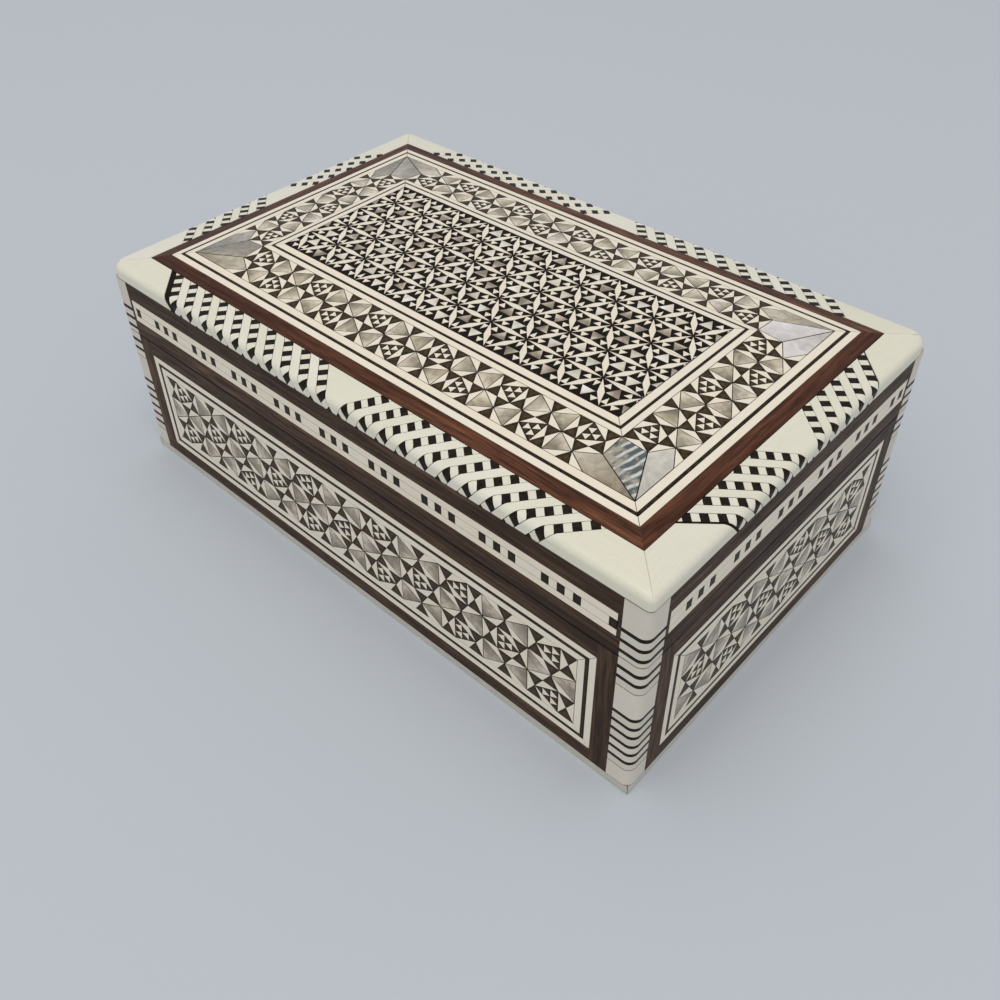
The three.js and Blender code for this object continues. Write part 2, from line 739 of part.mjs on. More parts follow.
// Moulding: plain mitred corner pieces, woven lengths and a plain wedge at the middle of each side
const mouldingRing = solidOf(sweptSection(mouldingSection(0), boxLength / 2, boxWidth / 2, true));
const sunkRing = solidOf(sweptSection(mouldingSection(relief), boxLength / 2, boxWidth / 2, true));
for (const corner of corners) {
  const x = corner.sx * (topHalfLength - cornerPieceLength);
  const y = corner.sy * (topHalfWidth - cornerPieceLength);
  const outerX = corner.sx * boxLength / 2;
  const outerY = corner.sy * boxWidth / 2;
  const farX = outerX + corner.sx * overrun;
  const farY = outerY + corner.sy * overrun;
  const reach = mouldingWidth + overrun;
  const edge = [];
  for (let step = 0; step <= cornerRoundSteps; step += 1) {
    const angle = (step / cornerRoundSteps) * Math.PI / 2;
    edge.push([
      outerX - corner.sx * cornerRound * (1 - Math.sin(angle)),
      outerY - corner.sy * cornerRound * (1 - Math.cos(angle)),
    ]);
  }
  const cutter = solidOf(prism([
    [x, corner.sy * topHalfWidth],
    [x - corner.sx * reach, farY],
    [outerX - corner.sx * cornerRound, farY],
    ...edge,
    [farX, outerY - corner.sy * cornerRound],
    [farX, y - corner.sy * reach],
    [corner.sx * topHalfLength, y],
    [corner.sx * topHalfLength, corner.sy * topHalfWidth],
  ], 0, fieldZ + overrun));
  const slice = new THREE.BoxGeometry(mouldingWidth * 4, mitreLine, boxLength);
  slice.rotateZ(corner.sx * corner.sy * Math.PI / 4);
  slice.translate(outerX, outerY, 0);
  const bonePiece = mouldingRing.intersect(cutter).subtract(solidOf(slice).subtract(sunkRing));
  piece(lidGroup, `moulding_corner_${corner.name}`, geometryOf(bonePiece), bone);
}
for (const side of sideGroups) {
  const halfRun = side.long ? boxLength / 2 : boxWidth / 2;
  const halfDepth = side.long ? boxWidth / 2 : boxLength / 2;
  const full = solidOf(sweptSection(mouldingSection(0), halfRun, halfDepth, false));
  const core = solidOf(sweptSection(mouldingSection(veneer + glueLine), halfRun, halfDepth, false));
  const cap = solidOf(sweptSection(mouldingSection(veneer), halfRun, halfDepth, false));
  const middle = centrePieceLength / 2;
  const end = halfRun - mouldingWidth - cornerPieceLength - glueLine;
  const near = middle + glueLine;
  const plan = (outline) => solidOf(prism(outline, 0, fieldZ + overrun));
  const stretches = plan(slantedPlan(halfDepth, near, end, 1, 1)).add(
    plan(slantedPlan(halfDepth, -end, -near, -1, -1)),
  );
  const rightSquares = weaveSquares(halfDepth, near, end);
  const leftSquares = rightSquares.map((outline) => outline.map(([x, y]) => [-x, y]));
  const squares = [...rightSquares, ...leftSquares].map((outline) => prism(outline, 0, fieldZ + overrun));
  const sunk = solidOf(sweptSection(mouldingSection(relief), halfRun, halfDepth, false));
  const woven = full.intersect(stretches).subtract(joined(squares).subtract(sunk));
  const length = woven.add(core.intersect(plan(slantedPlan(halfDepth, -near, near, 0, 0))));
  piece(side.onLid, `woven_moulding_${side.name}`, geometryOf(length), bone);
  const wedge = full.subtract(cap).intersect(plan(slantedPlan(halfDepth, -middle, middle, -1, 1)));
  piece(side.onLid, `moulding_centre_${side.name}`, geometryOf(wedge), bone);
}

// Velvet in the lid: a sheet under the board with a band turned down the rims
const lidLiningBottom = lidBottom + liningDrop;
const lidLiningTop = lidBoardBottom - glueLine;
const lidLiningHalfLength = wallInnerHalfLength - glueLine;
const lidLiningHalfWidth = wallInnerHalfWidth - glueLine;
const lidLiningBlock = solidOf(block(
  [-lidLiningHalfLength, -lidLiningHalfWidth, lidLiningBottom],
  [lidLiningHalfLength, lidLiningHalfWidth, lidLiningTop],
));
const lidHollowHalfLength = lidLiningHalfLength - liningThickness;
const lidHollowHalfWidth = lidLiningHalfWidth - liningThickness;
const lidLiningHollow = solidOf(stackedRectangles([
  [lidHollowHalfLength, lidHollowHalfWidth, lidLiningBottom - overrun],
  [lidHollowHalfLength, lidHollowHalfWidth, lidLiningTop - padThickness],
  [lidHollowHalfLength - padRound, lidHollowHalfWidth - padRound, lidLiningTop - liningThickness],
]));
piece(lidGroup, 'lid_lining', geometryOf(lidLiningBlock.subtract(lidLiningHollow)), velvet);

// A round bar along X
function barAlongX(radius, from, to) {
  const bar = new THREE.CylinderGeometry(radius, radius, to - from, barrelSides);
  return bar.rotateZ(Math.PI / 2).translate((from + to) / 2, 0, 0);
}

// A hinge leaf: a plate on one side of the seam and its share of the barrel, drawn round the pin
function hingeLeaf(plateBottom, plateTop, ownsMiddle) {
  const half = leafLength / 2;
  const knuckle = leafLength / knuckleCount;
  const reach = barrelRadius + barrelGap;
  let leaf = solidOf(block(
    [-half, bodyHalfWidth - leafDepth - hingeY, plateBottom - hingeZ],
    [half, 0, plateTop - hingeZ],
  ));
  for (let k = 0; k < knuckleCount; k += 1) {
    const middle = k % 2 === 1;
    const from = k * knuckle - half;
    const to = from + knuckle;
    const inFrom = middle ? from + barrelGap / 2 : from;
    const inTo = middle ? to - barrelGap / 2 : to;
    const outFrom = middle ? from - barrelGap / 2 : from - overrun * (k === 0 ? 1 : 0);
    const outTo = middle ? to + barrelGap / 2 : to + overrun * (k === 0 ? 0 : 1);
    if (middle === ownsMiddle) {
      leaf = leaf.add(solidOf(barAlongX(barrelRadius, inFrom, inTo)));
    } else {
      leaf = leaf.subtract(solidOf(block([outFrom, -reach, -reach], [outTo, reach, reach])));
    }
  }
  return geometryOf(leaf.subtract(solidOf(barAlongX(pinRadius + pinPlay, -leafLength, leafLength))));
}
const caseLeaf = hingeLeaf(caseHeight - leafThickness, caseHeight, false);
const lidLeaf = hingeLeaf(lidBottom, lidBottom + leafThickness, true);
const pin = barAlongX(pinRadius, -leafLength / 2, leafLength / 2);
for (const [label, sign] of [['left', -1], ['right', 1]]) {
  const x = sign * hingeX;
  piece(caseGroup, `hinge_case_leaf_${label}`, caseLeaf, brass).position.set(x, hingeY, hingeZ);
  piece(lidGroup, `hinge_lid_leaf_${label}`, lidLeaf, brass).position.set(x, hingeY, hingeZ);
  piece(caseGroup, `hinge_pin_${label}`, pin, brass).position.set(x, hingeY, hingeZ);
}

export default box;
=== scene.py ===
import math
import random

import bmesh
import bpy
from mathutils import Matrix, Vector


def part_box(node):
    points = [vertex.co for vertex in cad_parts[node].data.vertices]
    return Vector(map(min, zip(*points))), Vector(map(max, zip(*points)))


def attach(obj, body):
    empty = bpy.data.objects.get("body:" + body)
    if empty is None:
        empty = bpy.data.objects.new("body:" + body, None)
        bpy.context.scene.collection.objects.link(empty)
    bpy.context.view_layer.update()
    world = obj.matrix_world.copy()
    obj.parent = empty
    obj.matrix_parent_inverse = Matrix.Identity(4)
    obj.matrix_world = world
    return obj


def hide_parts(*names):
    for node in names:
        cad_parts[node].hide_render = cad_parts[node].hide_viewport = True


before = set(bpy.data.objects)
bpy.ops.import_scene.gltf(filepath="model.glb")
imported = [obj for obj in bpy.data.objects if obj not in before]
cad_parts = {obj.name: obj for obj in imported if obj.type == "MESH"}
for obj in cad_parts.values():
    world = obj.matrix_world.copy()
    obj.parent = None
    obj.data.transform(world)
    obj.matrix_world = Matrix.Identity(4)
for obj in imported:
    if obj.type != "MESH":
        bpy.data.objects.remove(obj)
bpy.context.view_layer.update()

# Camera: it stands over the front right corner and looks down on the lid, as one looks at a small box
# held at arm's length on a table. Its place was found by lining up the edges and rings of the box.
MM = 0.001
eye = Vector((135.11, -147.66, 181.04)) * MM
camera_turn, camera_tilt, camera_roll = 0.76221, 0.70651, -0.02104
looking_back = Vector((
    math.sin(camera_turn) * math.cos(camera_tilt),
    -math.cos(camera_turn) * math.cos(camera_tilt),
    math.sin(camera_tilt),
))
level = Vector((math.cos(camera_turn), math.sin(camera_turn), 0))
upright = looking_back.cross(level)
camera_right = level * math.cos(camera_roll) + upright * math.sin(camera_roll)
camera_up = upright * math.cos(camera_roll) - level * math.sin(camera_roll)
camera_data = bpy.data.cameras.new("camera")
camera_data.sensor_width = 36
camera_data.lens = 36.912
camera_data.shift_x = 0.01631
camera_data.shift_y = -0.05016
camera_data.clip_start = 0.01
camera = bpy.data.objects.new("camera", camera_data)
camera.matrix_world = Matrix((camera_right, camera_up, looking_back)).transposed().to_4x4()
camera.matrix_world.translation = eye
bpy.context.scene.collection.objects.link(camera)
bpy.context.scene.camera = camera

# Room: a plain pale table top, a broad soft lamp overhead, a second one in front, and the even light
# of pale walls.
bpy.context.scene.view_settings.view_transform = "Standard"


def colour(red, green, blue):
    """A colour given as 0 to 255 values on screen, as the linear colour that a shader takes."""
    linear = [((c / 255 + 0.055) / 1.055) ** 2.4 if c > 10 else c / 255 / 12.92 for c in (red, green, blue)]
    return (*linear, 1)


def fill_in(node, inputs):
    """Fills in a shader node's inputs. A socket is linked, and any other value is set."""
    for key, value in inputs.items():
        if isinstance(value, bpy.types.NodeSocket):
            node.id_data.links.new(value, node.inputs[key])
        else:
            node.inputs[key].default_value = value
    return node


def add_node(tree, kind, inputs=None, **settings):
    """Adds a shader node and fills it in."""
    node = tree.nodes.new(kind)
    for key, value in settings.items():
        setattr(node, key, value)
    return fill_in(node, inputs or {})


def mix_colours(tree, factor, first, second, blend="MIX"):
    """Mixes two colours, and gives the result's socket."""
    mix = add_node(tree, "ShaderNodeMix", {0: factor, 6: first, 7: second},
                   data_type="RGBA", blend_type=blend)
    return mix.outputs[2]


def worked(tree, operation, first, second=0.0, **settings):
    """The result of a sum on one or two values."""
    node = add_node(tree, "ShaderNodeMath", {0: first, 1: second}, operation=operation, **settings)
    return node.outputs[0]


def new_material(name):
    """A material with only its output and a Principled BSDF."""
    material = bpy.data.materials.new(name)
    material.use_nodes = True
    tree = material.node_tree
    return material, tree, tree.nodes["Principled BSDF"]


pale = colour(196, 202, 209)
table_top = bpy.data.meshes.new("table_top")
table_reach = 4
table_drop = 0.00003
table_top.from_pydata(
    [(x * table_reach, y * table_reach, -table_drop) for x, y in ((-1, -1), (1, -1), (1, 1), (-1, 1))],
    [],
    [(0, 1, 2, 3)],
)
table = bpy.data.objects.new("table_top", table_top)
bpy.context.scene.collection.objects.link(table)
table_paint, tree, shader = new_material("table_paint")
mottle = add_node(tree, "ShaderNodeTexNoise", {"Scale": 9.0, "Detail": 3.0}).outputs["Fac"]
fill_in(shader, {
    "Base Color": mix_colours(tree, mottle, colour(193, 200, 208), colour(198, 204, 211)),
    "Roughness": 0.7,
    "Specular IOR Level": 0.3,
})
table_top.materials.append(table_paint)

world = bpy.data.worlds.new("pale_room")
bpy.context.scene.world = world
world.use_nodes = True
tree = world.node_tree
tree.nodes.clear()
rays = add_node(tree, "ShaderNodeLightPath").outputs
seen = worked(tree, "ADD", rays["Is Camera Ray"], rays["Is Glossy Ray"])
seen = worked(tree, "ADD", seen, rays["Is Transmission Ray"], use_clamp=True)
room_light = add_node(tree, "ShaderNodeBackground", {"Color": (1, 0.99, 0.99, 1), "Strength": 0.49})
room_wall = add_node(tree, "ShaderNodeBackground", {"Color": pale, "Strength": 1.0})
room = add_node(tree, "ShaderNodeMixShader", {0: seen, 1: room_light.outputs[0], 2: room_wall.outputs[0]})
add_node(tree, "ShaderNodeOutputWorld", {0: room.outputs[0]})

for name, place, energy in (
    ("softbox_above", (0.0, 0.0, 2.4), 12.0),
    ("softbox_in_front", (0.4, -1.0, 1.9), 16.0),
):
    lamp_data = bpy.data.lights.new(name, "AREA")
    lamp_data.shape = "RECTANGLE"
    lamp_data.size = 2.2
    lamp_data.size_y = 1.8
    lamp_data.energy = energy
    lamp_data.color = (1, 0.995, 0.985)
    lamp = bpy.data.objects.new(name, lamp_data)
    lamp.location = place
    lamp.rotation_euler = (-lamp.location).to_track_quat("-Z", "Y").to_euler()
    bpy.context.scene.collection.objects.link(lamp)

# Base board: a bare softwood board let in between the walls, seen only from below, with a brown felt
# glued under it so that the box doesn't scratch a table.


def noise(tree, place, scale, detail, **inputs):
    """A cloudy value round a place."""
    node = add_node(tree, "ShaderNodeTexNoise", {"Vector": place, "Scale": scale, "Detail": detail, **inputs})
    return node.outputs["Fac"]


def spread(tree, value, low, high, to_low=0.0, to_high=1.0):
    """A value spread from one range over another."""
    node = add_node(tree, "ShaderNodeMapRange", {
        "Value": value, "From Min": low, "From Max": high, "To Min": to_low, "To Max": to_high,
    })
    return node.outputs[0]


def stretched(tree, place, scale):
    """A place stretched along its axes."""
    return add_node(tree, "ShaderNodeMapping", {"Vector": place, "Scale": scale}).outputs[0]


def raised(tree, height, strength, distance):
    """The surface's normal, for a relief of a height."""
    node = add_node(tree, "ShaderNodeBump", {"Height": height, "Strength": strength, "Distance": distance})
    return node.outputs[0]


def place_on(tree, output="Object"):
    """Where a point lies on its piece in metres, or another of its coordinates."""
    return add_node(tree, "ShaderNodeTexCoord").outputs[output]


def look_group(name, inputs, outputs):
    """An empty group of shader nodes, with what comes in and the node that it all goes out of."""
    group = bpy.data.node_groups.new(name, "ShaderNodeTree")
    for way, sockets in (("INPUT", inputs), ("OUTPUT", outputs)):
        for label, kind in sockets:
            group.interface.new_socket(label, in_out=way, socket_type=f"NodeSocket{kind}")
    return group, group.nodes.new("NodeGroupInput").outputs, group.nodes.new("NodeGroupOutput")


# Grain of wood, for a position in metres whose X runs with the grain
grain_group, start, end = look_group(
    "wood_grain",
    [("Position", "Vector")],
    [("Streaks", "Float"), ("Pores", "Float"), ("Bands", "Float")],
)
bend = add_node(grain_group, "ShaderNodeTexNoise", {
    "Vector": start["Position"], "Scale": 22.0, "Detail": 2.0,
})
drift = add_node(grain_group, "ShaderNodeVectorMath", {0: bend.outputs["Color"], 1: (0, 0.004, 0.004)},
                 operation="MULTIPLY")
bent = add_node(grain_group, "ShaderNodeVectorMath", {0: start["Position"], 1: drift.outputs[0]},
                operation="ADD")
for label, scale, detail, dark, light in (
    ("Streaks", (70, 1500, 1500), 5.0, 0.36, 0.66),
    ("Pores", (170, 5200, 5200), 2.0, 0.58, 0.7),
    ("Bands", (9, 190, 190), 3.0, 0.3, 0.7),
):
    fibres = noise(grain_group, stretched(grain_group, bent.outputs[0], scale), 1.0, detail, Roughness=0.6)
    fill_in(end, {label: spread(grain_group, fibres, dark, light)})

# Dark line along a joint, on upright faces only, that breaks up along its run; in the seam between case and
# lid it is painted shade
dark_joint_line, start, end = look_group(
    "dark_joint_line",
    [("Position", "Vector"), ("Up", "Float"), ("Facing", "Float"), ("Height", "Float"),
     ("Reach", "Float"), ("Broken Reach", "Float")],
    [("Darkness", "Float")],
)
upright_face = spread(dark_joint_line, worked(dark_joint_line, "ABSOLUTE", start["Facing"]), 0.9, 1.0, 1.0, 0.0)
blots = noise(dark_joint_line, stretched(dark_joint_line, start["Position"], (90, 0, 0)), 1.0, 3.0)
short = spread(dark_joint_line, blots, 0.4, 0.6, start["Reach"], start["Broken Reach"])
away = worked(dark_joint_line, "ABSOLUTE", worked(dark_joint_line, "SUBTRACT", start["Up"], start["Height"]))
line_darkness = spread(dark_joint_line, worked(dark_joint_line, "SUBTRACT", away, short), 0.0, 0.15 * MM, 0.92, 0.0)
fill_in(end, {"Darkness": worked(dark_joint_line, "MULTIPLY", line_darkness, upright_face)})


def wood(name, dark, light, pore, run, roughness, stile_from=None, centre=0.0, dark_lines=()):
    """A wood whose grain runs along one axis, and up the stiles beyond a distance from the middle.

    The last argument gives the heights of dark lines along joints of the outer face, each with half the width
    of the line there and with how broken up it is. The line at the seam between case and lid is painted
    shade.
    """
    material, tree, shader = new_material(name)
    parts = add_node(tree, "ShaderNodeSeparateXYZ", {0: place_on(tree)}).outputs
    along, across, up = (parts[axis] for axis in {"x": "XYZ", "y": "YXZ"}[run])
    position = add_node(tree, "ShaderNodeCombineXYZ", {0: along, 1: across, 2: up}).outputs[0]
    if stile_from is not None:
        standing = add_node(tree, "ShaderNodeCombineXYZ", {0: up, 1: along, 2: across}).outputs[0]
        far = worked(tree, "ABSOLUTE", worked(tree, "SUBTRACT", along, centre))
        stile = worked(tree, "GREATER_THAN", far, stile_from)
        choice = add_node(tree, "ShaderNodeMix", {0: stile, 4: position, 5: standing}, data_type="VECTOR")
        position = choice.outputs[1]
    grain = add_node(tree, "ShaderNodeGroup", {"Position": position}, node_tree=grain_group).outputs
    shade = mix_colours(tree, grain["Bands"], dark, light)
    streaked = mix_colours(tree, grain["Streaks"], dark, shade)
    finish = mix_colours(tree, worked(tree, "MULTIPLY", grain["Pores"], 0.75), streaked, pore)
    if dark_lines:
        facing = add_node(tree, "ShaderNodeSeparateXYZ", {0: place_on(tree, "Normal")}).outputs["Z"]
    for height, reach, broken in dark_lines:
        darkening = add_node(tree, "ShaderNodeGroup", {
            "Position": position, "Up": up, "Facing": facing, "Height": height * MM,
            "Reach": reach * MM, "Broken Reach": reach * MM * (1 - broken),
        }, node_tree=dark_joint_line).outputs["Darkness"]
        finish = mix_colours(tree, darkening, finish, colour(13, 9, 7))
    fill_in(shader, {
        "Base Color": finish,
        "Specular IOR Level": 0.15,
        "Roughness": spread(tree, grain["Streaks"], 0.0, 1.0, roughness + 0.12, roughness),
        "Normal": raised(tree, worked(tree, "SUBTRACT", grain["Streaks"], grain["Pores"]), 0.5, 0.00003),
    })
    return material


def dress(node, material):
    """Gives a CAD node its material."""
    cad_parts[node].data.materials.clear()
    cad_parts[node].data.materials.append(material)


bare_wood = wood("bare_wood", colour(150, 112, 70), colour(194, 158, 112), colour(110, 78, 48), "x", 0.6)
dress("base_board", bare_wood)

felt, tree, shader = new_material("brown_felt")
fibres = noise(tree, place_on(tree), 2600.0, 4.0, Distortion=1.5)
fill_in(shader, {
    "Base Color": mix_colours(tree, fibres, colour(48, 34, 27), colour(92, 68, 54)),
    "Roughness": 0.95,
    "Sheen Weight": 0.3,
    "Normal": raised(tree, fibres, 1.0, 0.0002),
})
dress("base_cloth", felt)

# Case walls and lid rims: dark brown wood, whose plain faces frame the panels and carry the dashed
# band. The rails' grain lies level, and on the case the stiles beside the posts stand upright.
# The edges are worn a little round.
sides = {"front": 0, "right": 90, "back": 180, "left": -90}
long_sides = ("front", "back")


def box_of(node):
    """Lowest and highest corner of a CAD node in millimetres."""
    return [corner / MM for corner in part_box(node)]


middle_y = (box_of("case_wall_front")[0].y + box_of("case_wall_back")[1].y) / 2
body_half = {
    True: box_of("plinth_strip_front")[1].x,
    False: box_of("plinth_strip_back")[1].y - middle_y,
}
post_size = 5.4
stile_width = 4.4
frame_half = {is_long: body_half[is_long] - post_size - stile_width for is_long in (True, False)}
wall_dark, wall_light, wall_pore = colour(46, 31, 20), colour(112, 84, 62), colour(24, 15, 10)
seam_z = (box_of("case_wall_front")[1].z + box_of("lid_rim_front")[0].z) / 2
foot_z = box_of("case_wall_front")[0].z
for side in sides:
    is_long = side in long_sides
    run, centre = ("x", 0.0) if is_long else ("y", middle_y * MM)
    # The dark line at seam height is painted shade in the seam between case and lid; the broken one at the
    # foot lies where the wall meets the plinth.
    framed = wood(f"dark_wood_{side}", wall_dark, wall_light, wall_pore, run, 0.46,
                  stile_from=frame_half[is_long] * MM, centre=centre,
                  dark_lines=((seam_z, 0.32, 0.3), (foot_z, 0.35, 0.9)))
    plain = wood(f"dark_rim_{side}", wall_dark, wall_light, wall_pore, run, 0.46,
                 dark_lines=((seam_z, 0.26, 0.3),))
    dress(f"case_wall_{side}", framed)
    dress(f"lid_rim_{side}", plain)
    for node in (f"case_wall_{side}", f"lid_rim_{side}"):
        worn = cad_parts[node].modifiers.new("worn_edge", "BEVEL")
        worn.width = 0.12 * MM
        worn.segments = 2

# Star panels of the case: a sheet of dark mastic in which small pieces of bone, horn and mother-of-pearl
# are set as rows of six-pointed stars, with bone, horn and bone strings round them, mitred at the corners.


def pulled_in(outline, distance):
    """A convex outline, anticlockwise, with every edge moved in."""
    count = len(outline)
    moved = []
    for i in range(count):
        before, here, after = (Vector(outline[(i + k) % count]) for k in (-1, 0, 1))
        first = (here - before).normalized()
        second = (after - here).normalized()
        normal_1, normal_2 = Vector((-first.y, first.x)), Vector((-second.y, second.x))
        bisector = normal_1 + normal_2
        moved.append(here + bisector * (distance / max(0.08, 1 + normal_1.dot(normal_2))))
    return moved


def anticlockwise(outline):
    """The outline as vectors that run anticlockwise from the same first point."""
    points = [Vector(point) for point in outline]
    area = sum(points[i - 1].cross(points[i]) for i in range(len(points)))
    return points if area > 0 else points[:1] + points[:0:-1]


def outward(mesh):
    """Turns every closed shell of the mesh so that its faces look out."""
    work = bmesh.new()
    work.from_mesh(mesh)
    bmesh.ops.recalc_face_normals(work, faces=work.faces)
    work.to_mesh(mesh)
    work.free()
    return mesh


def closed_mesh(name, points, faces, tags=None, crease=None):
    """Closed shells from points in metres, with values on the points for a material to read.

    crease is the angle in degrees from which the edge between two smooth faces stays hard.
    """
    mesh = bpy.data.meshes.new(name)
    mesh.from_pydata(points, [], faces)
    for label, values in (tags or {}).items():
        kind, entry = ("FLOAT_VECTOR", "vector") if label == "lay" else ("FLOAT", "value")
        mesh.attributes.new(label, kind, "POINT").data.foreach_set(entry, values)
    outward(mesh)
    if crease is not None:
        mesh.shade_smooth()
        mesh.set_sharp_from_angle(angle=math.radians(crease))
    return mesh


def finished_piece(name, mesh, body, material, slot, replaces=()):
    """A piece with its finish, riding on its body."""
    mesh.materials.append(material)
    made = bpy.data.objects.new(name, mesh)
    bpy.context.scene.collection.objects.link(made)
    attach(made, body)
    if replaces:
        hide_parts(*replaces)
    return made


def axes_of(outline):
    """The middle of an outline, the way its longest edge runs, and the way across that."""
    count = len(outline)
    centre = sum(outline, Vector((0, 0))) / count
    edges = (outline[i] - outline[i - 1] for i in range(count))
    longest = max(edges, key=lambda v: v.length).normalized()
    return centre, longest, Vector((-longest.y, longest.x))


def joined(low, high, count):
    """Faces between two rings of points, from the numbers at which the rings begin."""
    return [(low + i, low + (i + 1) % count, high + (i + 1) % count, high + i) for i in range(count)]


def cut_tiles(name, tiles, place, thickness, joint, ease=0.05, both=False, domed=False, glow_turns=()):
    """Flat-bottomed pieces cut to convex outlines, each eased round its top edge, and with both below too.

    place turns two coordinates in the sheet and a height over its face into a point of the box, all in
    millimetres. domed gives each piece a point in its middle, and glow_turns says in degrees which way
    its silky light turns.
    """
    rng = random.Random(name)
    points, faces = [], []
    tone_tag, rim_tag, silk_tag, lay_tag = [], [], [], []
    for number, outline in enumerate(tiles):
        drawn = anticlockwise(outline)
        count = len(drawn)
        centre, edge, side_ways = axes_of(drawn)
        reach = max((p - centre).length for p in drawn)
        tone = rng.random()
        glow = Vector((1, 0))
        glow_turn = math.radians(glow_turns[number]) if glow_turns else rng.random() * math.tau
        glow.rotate(Matrix.Rotation(glow_turn, 2))
        shift = rng.uniform(-400, 400)
        outer, inner = pulled_in(drawn, joint), pulled_in(drawn, joint + ease)
        if both:
            rings = [(inner, -thickness, 0.6), (outer, ease - thickness, 0.25),
                     (outer, 3 * ease - thickness, 0.0), (outer, -3 * ease, 0.0),
                     (outer, -ease, 0.25), (inner, 0.0, 0.6)]
        else:
            rings = [(outer, -thickness, 1.0), (outer, -ease, 1.0), (inner, 0.0, 0.0)]
        first = len(points)
        for ring, height, rim in rings:
            for p in ring:
                points.append(place(p.x, p.y, height))
                offset = p - centre
                tone_tag.append(tone)
                rim_tag.append(rim)
                silk_tag.append(0.5 + 0.5 * offset.dot(glow) / reach)
                lay_tag.extend((offset.dot(edge) + shift, offset.dot(side_ways) + shift, height))
        faces.append([first + i for i in range(count)][::-1])
        for k in range(len(rings) - 1):
            faces += joined(first + k * count, first + (k + 1) * count, count)
        top = first + (len(rings) - 1) * count
        if domed:
            points.append(place(centre.x, centre.y, 0.0))
            tone_tag.append(tone)
            rim_tag.append(-1.0)
            silk_tag.append(0.5)
            lay_tag.extend((shift, shift, 0))
            for i in range(count):
                faces.append((top + i, top + (i + 1) % count, len(points) - 1))
        else:
            for i in range(1, count - 1):
                faces.append((top, top + i, top + i + 1))
    tags = {"tone": tone_tag, "rim": rim_tag, "silk": silk_tag, "lay": lay_tag}
    return closed_mesh(name, [tuple(p * MM) for p in points], faces, tags)


def laid(name, tiles, place, thickness, joint, body, material, slot="mosaic", replaces=(), **cut):
    """Tiles cut and laid as one piece with its finish."""
    mesh = cut_tiles(name, tiles, place, thickness, joint, **cut)
    return finished_piece(name, mesh, body, material, slot, replaces)


def tag_value(tree, name, output="Fac"):
    """The socket that reads a tag of the mesh."""
    return add_node(tree, "ShaderNodeAttribute", attribute_name=name).outputs[output]


# Polished bone: fine lines that run with the piece, small flecks, clouds, and darkened rims, which are dark
# joints between pieces and painted shade along the moulding's lower edge, at the ends of the posts and along
# the plinth's foot
bone_look, start, end = look_group(
    "bone_look",
    [("Tone", "Float"), ("Rim", "Float"), ("Lay", "Vector"), ("Warm", "Color"), ("Cool", "Color")],
    [("Color", "Color"), ("Roughness", "Float"), ("Height", "Float")],
)
lines = noise(bone_look, stretched(bone_look, start["Lay"], (0.22, 3.2, 1)), 1.0, 4.0)
lines = spread(bone_look, lines, 0.35, 0.7, 0.0, 0.12)
flecks = noise(bone_look, stretched(bone_look, start["Lay"], (1.3, 7, 3)), 1.0, 2.0)
flecks = spread(bone_look, flecks, 0.66, 0.76, 0.0, 0.22)
cloud = spread(bone_look, noise(bone_look, start["Lay"], 0.35, 2.0), 0.4, 0.75, 0.0, 0.25)
# Rims darkened by the rim tag: dark joints between pieces, and painted shade where the tag is raised for it
# on the moulding and the post ends.
darkening = worked(bone_look, "MULTIPLY", start["Rim"], 0.55, use_clamp=True)
surface = mix_colours(bone_look, start["Tone"], start["Warm"], start["Cool"])
for amount, tint in (
    (lines, colour(186, 172, 142)),
    (flecks, colour(150, 132, 104)),
    (cloud, colour(228, 221, 198)),
    (darkening, colour(70, 55, 40)),
):
    surface = mix_colours(bone_look, amount, surface, tint)
fill_in(end, {
    "Color": surface,
    "Roughness": worked(bone_look, "ADD", flecks, 0.34),
    "Height": worked(bone_look, "MULTIPLY", worked(bone_look, "ADD", lines, flecks), -1.0),
})


def bone_material(name, warm, cool):
    """A bone finish between a warmer and a paler tone, by turns of the pieces."""
    material, tree, shader = new_material(name)
    look = add_node(tree, "ShaderNodeGroup", {
        "Tone": tag_value(tree, "tone"),
        "Rim": tag_value(tree, "rim"),
        "Lay": tag_value(tree, "lay", "Vector"),
        "Warm": warm,
        "Cool": cool,
    }, node_tree=bone_look).outputs
    fill_in(shader, {
        "Base Color": look["Color"],
        "Roughness": look["Roughness"],
        "Normal": raised(tree, look["Height"], 0.3, 0.00003),
    })
    return material


bone = bone_material("bone", colour(229, 226, 206), colour(235, 232, 218))
inlay_bone = bone_material("inlay_bone", colour(244, 232, 211), colour(244, 235, 218))


# Horn: near black at the edges of a piece and a little browner and mottled inside it
horn_look, start, end = look_group(
    "horn_look",
    [("Rim", "Float"), ("Lay", "Vector")],
    [("Browning", "Float"), ("Roughness", "Float"), ("Height", "Float")],
)
cloud = noise(horn_look, start["Lay"], 1.1, 4.0)
heart = worked(horn_look, "MULTIPLY", start["Rim"], -0.35)
fill_in(end, {
    "Browning": spread(horn_look, worked(horn_look, "ADD", cloud, heart), 0.35, 1.0),
    "Roughness": spread(horn_look, cloud, 0.0, 1.0, 0.3, 0.5),
    "Height": cloud,
})


def horn_material(name, deep, brown):
    """A horn finish between its dark and its brown tone."""
    material, tree, shader = new_material(name)
    look = add_node(tree, "ShaderNodeGroup", {
        "Rim": tag_value(tree, "rim"), "Lay": tag_value(tree, "lay", "Vector"),
    }, node_tree=horn_look).outputs
    fill_in(shader, {
        "Base Color": mix_colours(tree, look["Browning"], deep, brown),
        "Roughness": look["Roughness"],
        "Specular IOR Level": 0.12,
        "Normal": raised(tree, look["Height"], 0.2, 0.00004),
    })
    return material


horn = horn_material("dark_horn", colour(13, 9, 4), colour(56, 41, 25))
brown_horn = horn_material("brown_horn", colour(24, 17, 8), colour(84, 67, 43))

